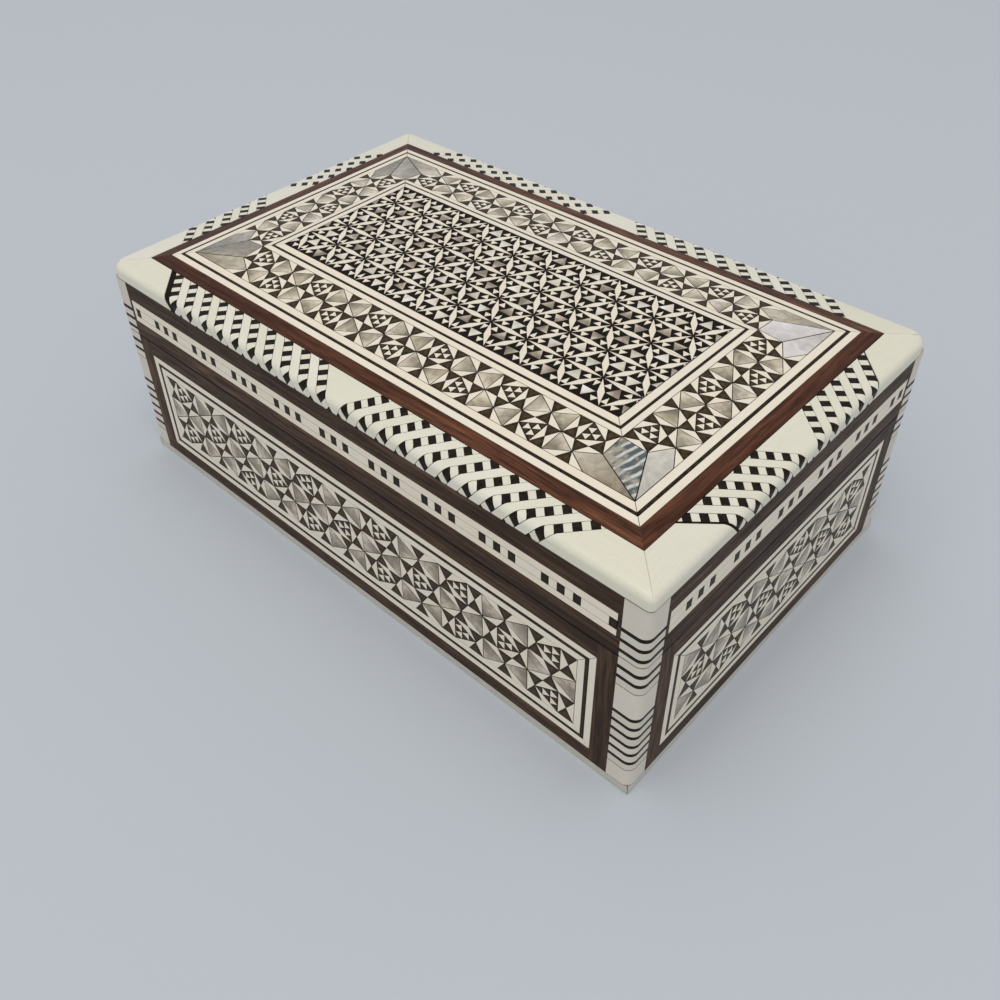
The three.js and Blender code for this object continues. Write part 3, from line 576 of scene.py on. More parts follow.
mastic, tree, shader = new_material("dark_mastic")
grit = noise(tree, place_on(tree), 1500.0, 4.0)
fill_in(shader, {
    "Base Color": mix_colours(tree, grit, colour(13, 9, 5), colour(34, 26, 18)),
    "Roughness": 0.7,
    "Specular IOR Level": 0.1,
    "Normal": raised(tree, grit, 0.5, 0.00006),
})


def colour_ramp(tree, value, stops):
    """Colours that follow one another as a value rises, from pairs of a place and a colour."""
    node = add_node(tree, "ShaderNodeValToRGB", {0: value})
    node.color_ramp.elements[0].color = stops[0][1]
    node.color_ramp.elements[1].color = stops[-1][1]
    for place, hue in stops[1:-1]:
        node.color_ramp.elements.new(place).color = hue
    return node.outputs[0]


# Silky light of mother-of-pearl, which turns across a piece and follows its fine growth waves
silky_light, start, end = look_group(
    "silky_light",
    [("Silk", "Float"), ("Lay", "Vector")],
    [("Glow", "Float")],
)
swirl = noise(silky_light, start["Lay"], 0.45, 2.0, Distortion=0.8)
waves = add_node(silky_light, "ShaderNodeTexWave", {
    "Vector": start["Lay"], "Scale": 0.9, "Distortion": 7.0, "Detail": 2.0, "Detail Scale": 0.6,
})
silk = worked(silky_light, "ADD", swirl, start["Silk"])
silk = worked(silky_light, "ADD", silk, worked(silky_light, "MULTIPLY", waves.outputs["Fac"], 0.09))
fill_in(end, {"Glow": spread(silky_light, silk, 0.6, 1.45)})


def pearl_finish(name, film):
    """The gloss and the relief of mother-of-pearl, with its silky light but no colour yet."""
    material, tree, shader = new_material(name)
    glow = add_node(tree, "ShaderNodeGroup", {
        "Silk": tag_value(tree, "silk"), "Lay": tag_value(tree, "lay", "Vector"),
    }, node_tree=silky_light).outputs["Glow"]
    fill_in(shader, {
        "Roughness": 0.24,
        "Coat Weight": 0.4,
        "Coat Roughness": 0.1,
        "Thin Film Thickness": film,
        "Thin Film IOR": 1.5,
        "Normal": raised(tree, glow, 0.35, 0.0001),
    })
    return material, tree, shader, glow


tile_tints = (
    (0.0, (0.72, 0.69, 0.63, 1)), (0.3, (0.88, 0.87, 0.8, 1)), (0.55, (1, 0.96, 0.92, 1)),
    (0.75, (0.8, 0.77, 0.75, 1)), (0.9, (1, 0.98, 1, 1)), (1.0, (1.1, 1.1, 1.07, 1)),
)


def shell_material(name, deep, mid, bright, film):
    """Mother-of-pearl whose silky light turns across each piece, every piece with a tint of its own."""
    material, tree, shader, glow = pearl_finish(name, film)
    silky = colour_ramp(tree, glow, ((0.0, colour(*deep)), (0.5, colour(*mid)), (1.0, colour(*bright))))
    tint = colour_ramp(tree, tag_value(tree, "tone"), tile_tints)
    tinted = mix_colours(tree, 1.0, silky, tint, "MULTIPLY")
    darkening = worked(tree, "MULTIPLY", tag_value(tree, "rim"), 0.6, use_clamp=True)
    fill_in(shader, {"Base Color": mix_colours(tree, darkening, tinted, colour(60, 50, 40))})
    return material


shell = shell_material("mother_of_pearl", (106, 95, 80), (161, 148, 129), (226, 215, 197), 300.0)

# Tips and notches of a star in a hexagon of radius 1 that stands on a corner
ROOT3 = math.sqrt(3)
tips = [Vector((math.cos(math.radians(90 + 60 * k)), math.sin(math.radians(90 + 60 * k)))) for k in range(6)]
notches = [Vector((math.cos(math.radians(60 * k)), math.sin(math.radians(60 * k)))) / ROOT3 for k in range(6)]


def star_pieces(points_right):
    """The bone and the horn pieces of one star in a hexagon of radius 1 that stands on a corner."""
    bone_parts, horn_parts = [], []
    for k in range(6):
        # Tip k stands at 90 + 60 k degrees, between the notches at 60 + 60 k and 120 + 60 k degrees
        low, high = notches[(k + 1) % 6], notches[(k + 2) % 6]
        horn_parts.append((tips[k], high, low))
        bone_parts.append((tips[k], tips[(k + 1) % 6], high))
    start = 0 if points_right else 1
    a, b, c = (notches[(start + 2 * k) % 6] for k in range(3))
    for k in range(3):
        bone_parts.append(tuple(notches[(start + 2 * k + step) % 6] for step in range(3)))
    spot = lambda i, j: a + (b - a) * (i / 3) + (c - a) * (j / 3)
    for i in range(3):
        for j in range(3 - i):
            horn_parts.append((spot(i, j), spot(i + 1, j), spot(i, j + 1)))
            if i + j < 2:
                bone_parts.append((spot(i + 1, j), spot(i + 1, j + 1), spot(i, j + 1)))
    return bone_parts, horn_parts


def star_columns(half_run, radius, half_window, steps, directions):
    """Pieces of a band of stars. steps gives, for each column in turn, where its star centres stand."""
    pitch = 2 * half_run / len(steps)
    stretch = pitch / ROOT3
    found = {"bone": [], "horn": [], "shell": []}
    limit = half_window * 1.001

    def keep(kind, shape, x, y):
        drawn = [(x + p[0] * stretch, y + p[1] * radius) for p in shape]
        if all(abs(v) <= limit for _, v in drawn):
            found[kind].append(drawn)

    for column, centres in enumerate(steps):
        x = -half_run + pitch * (column + 0.5)
        for centre in centres:
            parts = star_pieces(directions(column, centre))
            for kind, shapes in zip(("bone", "horn"), parts):
                for shape in shapes:
                    keep(kind, shape, x, centre * radius)
        for meeting in sorted({c + sign for c in centres for sign in (-1, 1)}):
            for sign in (-1, 1):
                shape = ((0, 0), (sign * ROOT3 / 2, -0.5), (sign * ROOT3 / 2, 0.5))
                keep("shell", shape, x, meeting * radius)
    return found


def ring_bars(half_x, half_y, outer, width):
    """The four mitred bars of a rectangular ring, whose outer edge lies that far inside."""
    inner = outer + width
    bars = []
    for turn in range(4):
        a, b = (half_x, half_y) if turn % 2 == 0 else (half_y, half_x)
        bar = [(outer - a, outer - b), (a - outer, outer - b), (a - inner, inner - b), (inner - a, inner - b)]
        for _ in range(turn):
            bar = [(-y, x) for x, y in bar]
        bars.append(bar)
    return bars


def turned(side, x, y, z):
    """A point given for the front of the box, turned onto one of its sides."""
    angle = math.radians(sides[side])
    return Vector((
        x * math.cos(angle) - y * math.sin(angle),
        x * math.sin(angle) + y * math.cos(angle) + middle_y,
        z,
    ))


def rectangle(left, right, low, high):
    """The outline of a rectangle."""
    return [(left, low), (right, low), (right, high), (left, high)]


def inlay_bed(name, outline, thickness, place, body, node):
    """The mastic bed of a flat sheet of inlay, its face a little under the pieces in it."""
    sunk = lambda a, b, w: place(a, b, w - mastic_drop)
    laid(name, [outline], sunk, thickness - mastic_drop, 0.0, body, mastic, replaces=(node,))


def string_ring(name, half_x, half_y, outer, widths, place, joint, body):
    """Bone, horn and bone strings side by side round a rectangle. name has {} for what they are made of."""
    bars = {"bone": [], "horn": []}
    for kind, width in zip(("bone", "horn", "bone"), widths):
        bars[kind] += ring_bars(half_x, half_y, outer, width)
        outer += width
    for kind, material, slot in (("bone", inlay_bone, "bone"), ("horn", brown_horn, "mosaic")):
        laid(name.format(kind), bars[kind], place, string_thickness, joint, body, material, slot)


panel_strings = (1.6, 0.9, 1.7)
panel_thickness, tile_thickness, string_thickness = 1.3, 0.5, 0.6
mastic_drop, bed_gap = 0.08, 0.05
panel_low, panel_high = box_of("star_panel_front")
panel_middle, panel_half = (panel_low.z + panel_high.z) / 2, (panel_high.z - panel_low.z) / 2
half_window = panel_half - sum(panel_strings)
pair_steps, single_steps = (-1, 1), (-2, 0, 2)
stars_pointing_left = {
    "front": {(2, -1), (4, 1), (5, 0), (8, 1), (10, 1), (10, -1)},
    "right": {(0, 0), (3, 1), (5, -1)},
}
for side in sides:
    is_long = side in long_sides
    depth = body_half[not is_long]
    half_run = frame_half[is_long]
    face = lambda a, b, w, side=side, depth=depth: turned(side, a, -depth - w, panel_middle + b)
    columns = 11 if is_long else 6
    first, second = (pair_steps, single_steps) if is_long else (single_steps, pair_steps)
    steps = [first if column % 2 == 0 else second for column in range(columns)]
    rng = random.Random(f"panel {side}")
    known = stars_pointing_left.get(side)
    points_right = lambda column, centre: (column, centre) not in known if known else rng.random() < 0.5
    found = star_columns(half_run - sum(panel_strings), half_window / 1.5, half_window, steps, points_right)
    bed_run, bed_half = half_run - bed_gap, panel_half - bed_gap
    inlay_bed(f"panel_ground_{side}", rectangle(-bed_run, bed_run, -bed_half, bed_half), panel_thickness,
              face, "case", f"star_panel_{side}")
    for kind, material, joint in (
        ("bone", inlay_bone, 0.05),
        ("horn", brown_horn, 0.02),
        ("shell", shell, 0.1),
    ):
        laid(f"panel_{kind}_{side}", found[kind], face, tile_thickness, joint, "case", material,
             domed=kind == "horn")
    string_ring(f"panel_string_{{}}_{side}", half_run, panel_half, 0.0, panel_strings, face, 0.03, "case")

# Plinth: four thick strips of bone on which the box stands, greyer than the rest. They are glued under
# the walls and mitred at the corners.
grey_bone = bone_material("grey_bone", colour(192, 186, 174), colour(206, 200, 189))
wall_thickness = 7.3
plinth_height = box_of("plinth_strip_front")[1].z
plinth_bars = ring_bars(body_half[True], body_half[False], 0.0, wall_thickness)
for side, bar in zip(sides, plinth_bars):
    stand = lambda a, b, w: Vector((a, b + middle_y, plinth_height + w))
    # The wide ease darkens the plinth's upper and lower rims: dark chipping along its top, and painted shade
    # along the floor.
    laid(f"plinth_{side}", [bar], stand, plinth_height, 0.06, "case", grey_bone, "bone",
         (f"plinth_strip_{side}",), ease=0.13, both=True)

# Corner posts: each corner of the case and of the lid is a stack of bone blocks with horn between them,
# its outer edge rubbed round.
post_bone = bone_material("post_bone", colour(212, 204, 189), colour(224, 216, 204))
post_round = 1.9
stripe = 0.9
thin_line = 0.14
# The wider ease at the ends of a post darkens its rims there: painted shade where it meets the moulding, the
# seam or the plinth.
layer_gap, layer_ease, shaded_end_ease = 0.01, 0.03, 0.09
lid_stripes = (45.6, 42.9, 40.2)
case_stripes = (35.85, 33.25, 23.15, 20.45, 17.8, 14.95, 12.3, 9.6)
case_lines = (30.9, 7.3)
corner_turns = {"front_right": 0, "back_right": 90, "back_left": 180, "front_left": -90}
post_plan = [(0, 0), (0, -post_size)]
for step in range(7):
    angle = -math.pi / 2 + step / 6 * math.pi / 2
    post_plan.append((
        post_size - post_round + post_round * math.cos(angle),
        -post_size + post_round + post_round * math.sin(angle),
    ))
post_plan.append((post_size, 0))


def stack(bottom, top, cuts):
    """Bone blocks and horn layers between two heights, from cuts given as a middle and a thickness."""
    blocks, layers, reached = [], [], bottom
    for middle, thick in sorted(cuts):
        blocks.append((reached, middle - thick / 2))
        layers.append((middle - thick / 2, middle + thick / 2))
        reached = middle + thick / 2
    blocks.append((reached, top))
    return {"bone": blocks, "horn": layers}


case_post = box_of("case_post_front_right")
lid_post = box_of("lid_post_front_right")
stacks = (
    ("case", case_post, [(z, stripe) for z in case_stripes] + [(z, thin_line) for z in case_lines]),
    ("lid", lid_post, [(z, stripe) for z in lid_stripes]),
)
for corner, turn in corner_turns.items():
    angle = math.radians(turn)
    sign_x = 1 if corner.endswith("right") else -1
    sign_y = -1 if corner.startswith("front") else 1
    foot = Vector((
        sign_x * (body_half[True] - post_size),
        sign_y * (body_half[False] - post_size) + middle_y,
    ))
    plan = [(x * math.cos(angle) - y * math.sin(angle), x * math.sin(angle) + y * math.cos(angle))
            for x, y in post_plan]
    for body, (low, high), cuts in stacks:
        for kind, spans in stack(low.z, high.z, cuts).items():
            work = bmesh.new()
            for number, (bottom, top) in enumerate(spans):
                seat = lambda a, b, w, top=top: Vector((a + foot.x, b + foot.y, top + w))
                # Blocks at the ends of a stack are eased wider, so their darkened rims paint shade at the
                # joints with the moulding, the seam and the plinth.
                at_end = bottom == low.z or top == high.z
                block = cut_tiles(f"{body}_{corner}_{kind}_{number}", [plan], seat, top - bottom - layer_gap,
                                  0.0, shaded_end_ease if at_end else layer_ease, both=True)
                work.from_mesh(block)
                bpy.data.meshes.remove(block)
            mesh = bpy.data.meshes.new(f"{body}_post_{kind}_{corner}")
            work.to_mesh(mesh)
            work.free()
            finished_piece(f"{body}_post_{kind}_{corner}", outward(mesh), body,
                           post_bone if kind == "bone" else horn, "bone",
                           (f"{body}_post_{corner}",) if kind == "bone" else ())

# Velvet lining of the case: a pad on the base board and a band glued round the walls, cut from a short
# dark red pile over a thin wadding.
velvet, tree, shader = new_material("dark_red_velvet")
pile = noise(tree, place_on(tree), 3200.0, 3.0)
brushed = spread(tree, noise(tree, place_on(tree), 45.0, 4.0, Distortion=1.2), 0.35, 0.7)
nap = mix_colours(tree, brushed, colour(78, 10, 22), colour(122, 22, 38))
fill_in(shader, {
    "Base Color": mix_colours(tree, pile, colour(60, 6, 16), nap),
    "Roughness": 0.9,
    "Sheen Weight": 0.7,
    "Sheen Roughness": 0.4,
    "Sheen Tint": colour(226, 120, 130),
    "Specular IOR Level": 0.2,
    "Normal": raised(tree, pile, 0.7, 0.00025),
})
pad_roll, pad_sag = 1.2, 0.25
pad_columns, pad_rows = 60, 36


def padded_sheet(name, half_x, half_y, bottom, top):
    """A pad with a crowned top: its edge rolls down and its middle dips and rises a little."""
    rng = random.Random(name)
    waves = [(rng.uniform(0.5, 2.2), rng.uniform(0.5, 2.2), rng.uniform(0, math.tau)) for _ in range(4)]

    def top_at(x, y):
        to_edge = min(half_x - abs(x), half_y - abs(y))
        roll = min(1.0, max(0.0, to_edge / pad_roll))
        drop = pad_roll * 0.6 * (1 - math.sqrt(max(0.0, 1 - (1 - roll) ** 2)))
        ripple = sum(math.sin(fx * math.pi * x / half_x + fy * math.pi * y / half_y + phase)
                     for fx, fy, phase in waves)
        return top - drop - pad_sag * (0.5 + ripple / 8) * min(1.0, to_edge / (4 * pad_roll))

    def spaced(half, count):
        rim = [0.0, 0.25 * pad_roll, 0.6 * pad_roll]
        run = [pad_roll + (2 * half - 2 * pad_roll) * k / count for k in range(count + 1)]
        return [v - half for v in rim + run + [2 * half - r for r in reversed(rim)]]

    xs, ys = spaced(half_x, pad_columns), spaced(half_y, pad_rows)
    points = [(x, y + middle_y, top_at(x, y)) for y in ys for x in xs]
    count = len(xs)
    faces = []
    for j in range(len(ys) - 1):
        for i in range(count - 1):
            a = j * count + i
            faces.append((a, a + 1, a + count + 1, a + count))
    edge = list(range(count))
    edge += [j * count + count - 1 for j in range(1, len(ys))]
    edge += [(len(ys) - 1) * count + i for i in range(count - 2, -1, -1)]
    edge += [j * count for j in range(len(ys) - 2, 0, -1)]
    first = len(points)
    points += [(points[i][0], points[i][1], bottom) for i in edge]
    for k in range(len(edge)):
        following = (k + 1) % len(edge)
        faces.append((edge[k], first + k, first + following, edge[following]))
    faces.append([first + k for k in range(len(edge))][::-1])
    mesh = closed_mesh(name, [tuple(c * MM for c in p) for p in points], faces)
    mesh.shade_smooth()
    return mesh


pad_low, pad_high = box_of("case_floor_pad")
pad_mesh = padded_sheet("floor_pad", pad_high.x, (pad_high.y - pad_low.y) / 2, pad_low.z, pad_high.z)
pad = finished_piece("floor_pad", pad_mesh, "case", velvet, "velvet", ("case_floor_pad",))

ring_corners = ((-1, -1), (1, -1), (1, 1), (-1, 1))


def swept_ring(name, sections, crease=None):
    """A closed section carried round a rectangle, from its points at each of the four corners."""
    count = len(sections[0])
    faces = []
    for span in range(4):
        faces += joined(span * count, (span + 1) % 4 * count, count)
    return closed_mesh(name, [point for section in sections for point in section], faces, crease=crease)


def swept_band(name, section, half_x, half_y):
    """A closed section of insets and heights, swept round the inside of the box with mitred corners."""
    return swept_ring(name, [[
        (sign_x * (half_x - inset) * MM, (sign_y * (half_y - inset) + middle_y) * MM, z * MM)
        for inset, z in section
    ] for sign_x, sign_y in ring_corners], crease=50)


band_low, band_high = box_of("case_wall_lining")
band_half_x, band_half_y = band_high.x, (band_high.y - band_low.y) / 2
lining = 1.2
soft = 0.45


def rolled_section(bottom, top, back, front, roll):
    """Section of a lining band, its free upper edge rolled over the wadding."""
    section = [(back, bottom), (front, bottom)]
    for step in range(5):
        angle = step / 4 * math.pi / 2
        section.append((front - roll + roll * math.cos(angle), top - roll + roll * math.sin(angle)))
    section.append((back, top))
    return section


band_section = rolled_section(band_low.z, band_high.z, 0.0, lining - 0.05, soft)
band = swept_band("wall_lining", band_section, band_half_x, band_half_y)
wall_lining = finished_piece("wall_lining", band, "case", velvet, "velvet", ("case_wall_lining",))

# Dashed bands on the lid's sides: a bone string above and below, and between them a row of bone with
# horn dashes in threes, all set in one groove.
dash_low, dash_high = box_of("dash_band_front")
band_height = dash_high.z - dash_low.z
dash_thickness, dash_end_gap = 1.2, 0.9
row_bottom, row_top = 1.65, 3.95
dash_width, dash_pitch, group_pitch = 1.7, 3.65, 15.16
long_shift, short_shift = 0.56, -3.9
for side in sides:
    is_long = side in long_sides
    depth = body_half[not is_long]
    half_run = body_half[is_long] - post_size - dash_end_gap
    face = lambda a, b, w, side=side, depth=depth: turned(side, a, -depth - w, dash_low.z + b)
    shift = long_shift if is_long else short_shift
    reach = math.ceil(half_run / group_pitch) + 1
    edges = []
    for group in range(-reach, reach + 1):
        for dash in (-1, 0, 1):
            x = shift + group * group_pitch + dash * dash_pitch
            left, right = max(x - dash_width / 2, -half_run), min(x + dash_width / 2, half_run)
            if right - left > 0.3:
                edges.append((left, right))
    dashes = [rectangle(left, right, row_bottom, row_top) for left, right in edges]
    blanks, reached = [], -half_run
    for left, right in edges + [(half_run, half_run)]:
        if left - reached > 0.2:
            blanks.append(rectangle(reached, left, row_bottom, row_top))
        reached = right
    strings = [rectangle(-half_run, half_run, *span) for span in ((0, row_bottom), (row_top, band_height))]
    whites = blanks + strings
    inlay_bed(f"dash_ground_{side}", rectangle(-half_run, half_run, 0, band_height), dash_thickness, face,
              "lid", f"dash_band_{side}")
    laid(f"dash_bone_{side}", whites, face, tile_thickness, 0.04, "lid", inlay_bone, "bone")
    laid(f"dash_horn_{side}", dashes, face, tile_thickness, 0.03, "lid", horn, domed=True)

# Lid board: a bare board glued onto the rims, its top planed so that it climbs from the edge to the
# middle. It carries the sheets of inlay, which hide it.
dress("lid_board", bare_wood)

# Border strips: thin strips of reddish brown wood round the top, just inside the moulding. They are glued
# to the board along each side and mitred at the corners.
solid_gap = 0.05
top_half_x = round(box_of("border_strip_front")[1].x + solid_gap, 2)
top_half_y = round(box_of("border_strip_right")[1].y - middle_y + solid_gap, 2)
for side in sides:
    run = "x" if side in long_sides else "y"
    red = wood(f"red_wood_{side}", colour(58, 29, 17), colour(126, 80, 53), colour(28, 14, 7), run, 0.4)
    dress(f"border_strip_{side}", red)
    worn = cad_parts[f"border_strip_{side}"].modifiers.new("worn_edge", "BEVEL")
    worn.width = 0.05 * MM

# Stringing: two rings of thin strings, bone, horn and bone side by side, one round the star border and
# one round the star field. They are set in dark mastic and mitred at the corners.
outer_strings_from, border_outer, inner_strings_from, field_from = 3.5, 7.55, 19.15, 22.8
strip_top, field_ring_top = box_of("border_strip_front")[1].z, box_of("inner_stringing")[1].z
strip_rise = 0.6
ring_heights = (
    (0.0, strip_top - strip_rise),
    (outer_strings_from, strip_top),
    (border_outer, box_of("outer_stringing")[1].z),
    (inner_strings_from, box_of("star_border")[1].z),
    (field_from, field_ring_top),
    (top_half_y, field_ring_top),
)
bed_thickness, ring_gap = 1.25, 0.04


def top_height(x, y):
    """Height of the lid's top over a point of its plan, which climbs ring by ring to the middle."""
    inset = max(0.0, min(top_half_x - abs(x), top_half_y - abs(y)))
    for (near, low), (far, high) in zip(ring_heights, ring_heights[1:]):
        if inset <= far:
            break
    return low + (high - low) * (inset - near) / (far - near)


def on_top(a, b, w):
    """A point over the lid's top, for a place in its plan measured from its middle."""
    return Vector((a, b + middle_y, top_height(a, b) + w))


def mastic_ring(name, outer, width, node):
    """The bed of a ring of inlay: a sunk ring with the slope of the lid there."""
    near, far = outer + ring_gap, outer + width - ring_gap
    section = ((near, -mastic_drop), (near, -bed_thickness), (far, -bed_thickness), (far, -mastic_drop))
    mesh = swept_ring(name, [[
        tuple(on_top(sign_x * (top_half_x - inset), sign_y * (top_half_y - inset), w) * MM)
        for inset, w in section
    ] for sign_x, sign_y in ring_corners])
    finished_piece(name, mesh, "lid", mastic, "mosaic", (node,))


for label, start, widths in (
    ("outer", outer_strings_from, (1.65, 0.65, 1.75)),
    ("inner", inner_strings_from, (1.4, 0.55, 1.7)),
):
    mastic_ring(f"{label}_string_bed", start, sum(widths), f"{label}_stringing")
    string_ring(f"{label}_string_{{}}", top_half_x, top_half_y, start, widths, on_top, 0.04, "lid")

# Star border: a ring of six-pointed stars that stand by turns at its inner and its outer edge, with
# three large pieces of mother-of-pearl in each corner.
border_width = 11.6
border_radius = border_width / 2
inner_steps, outer_steps = (0.5, -1.5), (-0.5, 1.5)
mastic_ring("star_border_bed", border_outer, border_width, "star_border")
border_tiles = {"bone": [], "horn": [], "shell": []}
kites, wings = [], []
for side in sides:
    is_long = side in long_sides
    half_run, half_depth = (top_half_x, top_half_y) if is_long else (top_half_y, top_half_x)
    inner_half = half_run - border_outer - border_width
    middle = -half_depth + border_outer + border_radius
    columns = 11 if is_long else 5
    steps = [inner_steps if column % 2 == 0 else outer_steps for column in range(columns)]
    rng = random.Random(f"border {side}")
    by_chance = lambda column, centre: rng.random() < 0.5
    found = star_columns(inner_half, border_radius, border_radius, steps, by_chance)
    last = inner_half - inner_half / columns

    def in_plan(shape, side=side, middle=middle):
        """A shape on one side of the lid's top, as an outline in its plan."""
        points = [turned(side, a, middle + b, 0) for a, b in shape]
        return [(p.x, p.y - middle_y) for p in points]

    for kind, kept in border_tiles.items():
        for shape in found[kind]:
            reach, lowest = max(abs(a) for a, _ in shape), min(b for _, b in shape)
            in_corner = reach > inner_half - 0.01 and lowest < -border_radius + 0.01
            if kind != "shell" or not in_corner:
                kept.append(in_plan(shape))
    for sign in (-1, 1):
        wings.append(in_plan([
            (sign * inner_half, 0),
            (sign * last, -border_radius / 2),
            (sign * inner_half, -border_radius),
            (sign * (inner_half + border_width), -border_radius),
        ]))
inner_x, inner_y = top_half_x - border_outer - border_width, top_half_y - border_outer - border_width
for sign_x, sign_y in ((1, -1), (1, 1), (-1, 1), (-1, -1)):
    kites.append([
        (sign_x * inner_x, sign_y * inner_y),
        (sign_x * inner_x, sign_y * (inner_y + border_radius)),
        (sign_x * (inner_x + border_width), sign_y * (inner_y + border_width)),
        (sign_x * (inner_x + border_radius), sign_y * inner_y),
    ])
paler_shell = shell_material("paler_mother_of_pearl", (122, 112, 93), (184, 174, 152), (240, 231, 210),
                             300.0)
for kind, material, joint in (
    ("bone", inlay_bone, 0.05),
    ("horn", brown_horn, 0.02),
    ("shell", paler_shell, 0.08),
):
    laid(f"border_{kind}", border_tiles[kind], on_top, tile_thickness, joint, "lid", material,
         domed=kind == "horn")
corner_shell = shell_material("corner_pearl", (140, 127, 107), (188, 177, 158), (232, 224, 212), 420.0)
grey_shell = shell_material("grey_pearl", (112, 106, 96), (150, 144, 132), (200, 192, 180), 420.0)
pale_shell = shell_material("pale_pearl", (186, 184, 178), (218, 214, 208), (244, 242, 240), 320.0)
wing_looks = {"front": corner_shell, "right": pale_shell, "back": corner_shell, "left": grey_shell}
for number, side in enumerate(sides):
    laid(f"border_wings_{side}", wings[2 * number:2 * number + 2], on_top, tile_thickness, 0.1, "lid",
         wing_looks[side], glow_turns=(sides[side] + 60, sides[side] + 150))

streak_turn = math.radians(-50)


def streaked_shell(name, ground, dark, bright):
    """Dark mother-of-pearl that goes over into a paler ground on one half, with light streaks across it."""
    material, tree, shader, _ = pearl_finish(name, 440.0)
    lay = tag_value(tree, "lay", "Vector")
    half = worked(tree, "ADD", tag_value(tree, "silk"), noise(tree, lay, 0.5, 2.0))
    across = add_node(tree, "ShaderNodeVectorRotate", {"Vector": lay, "Angle": streak_turn},
                      rotation_type="Z_AXIS")
    streaks = add_node(tree, "ShaderNodeTexWave", {
        "Vector": across.outputs[0], "Scale": 0.17, "Distortion": 5.0, "Detail": 3.0, "Detail Scale": 0.7,
    }, bands_direction="X")
    streaked = mix_colours(tree, spread(tree, streaks.outputs["Fac"], 0.5, 1.05), dark, bright)
    fill_in(shader, {"Base Color": mix_colours(tree, spread(tree, half, 0.86, 1.06), ground, streaked)})
    return material


blue_shell = streaked_shell("blue_pearl", colour(168, 161, 144), colour(80, 86, 86), colour(222, 226, 220))
for label, kite, material, turn in zip(
    ("front_right", "back_right", "back_left", "front_left"),
    kites,
    (blue_shell, pale_shell, grey_shell, grey_shell),
    (45, 135, -135, -45),
):
    laid(f"border_kite_{label}", [kite], on_top, tile_thickness, 0.1, "lid", material, glow_turns=(turn,))

# Star field: a net of bone lozenges that meet six at a point. Each cell between them is dark, with a
# reversed triangle of shell in its middle and three small bone triangles in its corners.
field_low, field_high = box_of("star_field")
field_half_x = round(field_high.x + solid_gap, 2)
field_half_y = round((field_high.y - field_low.y) / 2 + solid_gap, 2)
field_rows, field_columns = 5, 10
field_start = 0.2
lozenge_width, lozenge_gap = 1.6, 0.2
row_pitch = 2 * field_half_y / field_rows
cell_pitch = 2 * (field_half_x + field_start) / field_columns
field_z = field_high.z


def clipped(outline, limits):
    """A convex outline cut off at the sides of a rectangle."""
    kept = [Vector(p) for p in outline]
    for axis, sign, bound in limits:
        drawn, kept = kept, []
        for i, here in enumerate(drawn):
            before = drawn[i - 1]
            gap_here, gap_before = bound - sign * here[axis], bound - sign * before[axis]
            if (gap_here >= 0) != (gap_before >= 0):
                kept.append(before.lerp(here, gap_before / (gap_before - gap_here)))
            if gap_here >= 0:
                kept.append(here)
    return kept


def area_of(outline):
    """The area inside an outline."""
    return abs(sum(Vector(outline[i - 1]).cross(Vector(outline[i])) for i in range(len(outline)))) / 2


field_edge, smallest_piece = 0.1, 0.12
field_limits = [(axis, sign, half - field_edge) for axis, half in ((0, field_half_x), (1, field_half_y))
                for sign in (1, -1)]
field_tiles = {"bone": [], "shell": [], "white shell": []}


def into_field(kind, outline):
    """Keeps a piece, cut off where the field ends, if enough of it is left."""
    kept = clipped(outline, field_limits)
    if len(kept) > 2 and area_of(kept) > smallest_piece:
        field_tiles[kind].append([tuple(p) for p in kept])


def lozenge(start, end):
    """A long bone lozenge between two meeting points of the net."""
    start, end = Vector(start), Vector(end)
    along = (end - start).normalized()
    across = Vector((-along.y, along.x)) * (lozenge_width / 2)
    middle = (start + end) / 2
    return [start + along * lozenge_gap, middle - across, end - along * lozenge_gap, middle + across]


peak_inset, foot_in, foot_up = 2.3, 2.45, 1.5
rng = random.Random("field")
for row in range(field_rows + 1):
    y = row * row_pitch - field_half_y
    shift = -0.5 if row % 2 == 0 else 0.0
    for column in range(field_columns + 2):
        x = (column + shift) * cell_pitch - field_half_x - field_start
        if 0 < row < field_rows:
            into_field("bone", lozenge((x, y), (x + cell_pitch, y)))
        if row < field_rows:
            for sign in (-1, 1):
                into_field("bone", lozenge((x, y), (x + sign * cell_pitch / 2, y + row_pitch)))
        for up in (1, -1):
            if not 0 <= row + up <= field_rows:
                continue
            centre = Vector((x + cell_pitch / 2, y + up * row_pitch / 3))
            wobble = lambda: rng.uniform(-0.12, 0.12)
            half = cell_pitch / 6 + rng.uniform(0.0, 0.3)
            reversed_cell = [
                centre + Vector((-half + wobble(), up * half * 0.55)),
                centre + Vector((half + wobble(), up * half * 0.55 + wobble())),
                centre + Vector((wobble(), -up * half * 1.15)),
            ]
            into_field("white shell" if rng.random() < 0.45 else "shell", reversed_cell)
            peak = Vector((x + cell_pitch / 2, y + up * (row_pitch - peak_inset)))
            into_field("bone", [
                peak + Vector((-0.75 + wobble() / 2, up * 0.85)),
                peak + Vector((0.75 + wobble() / 2, up * 0.85)),
                peak + Vector((wobble(), -up * (1.25 + wobble()))),
            ])
            for sign in (-1, 1):
                corner = Vector((x + cell_pitch / 2 + sign * (cell_pitch / 2 - foot_in), y + up * foot_up))
                into_field("bone", [
                    corner + Vector((sign * -1.1, up * 0.55 + wobble())),
                    corner + Vector((sign * (0.95 + wobble()), up * 0.6)),
                    corner + Vector((wobble(), -up * 1.05)),
                ])
field_face = lambda a, b, w: Vector((a, b + middle_y, field_z + w))
bed_half_x, bed_half_y = field_half_x - bed_gap, field_half_y - bed_gap
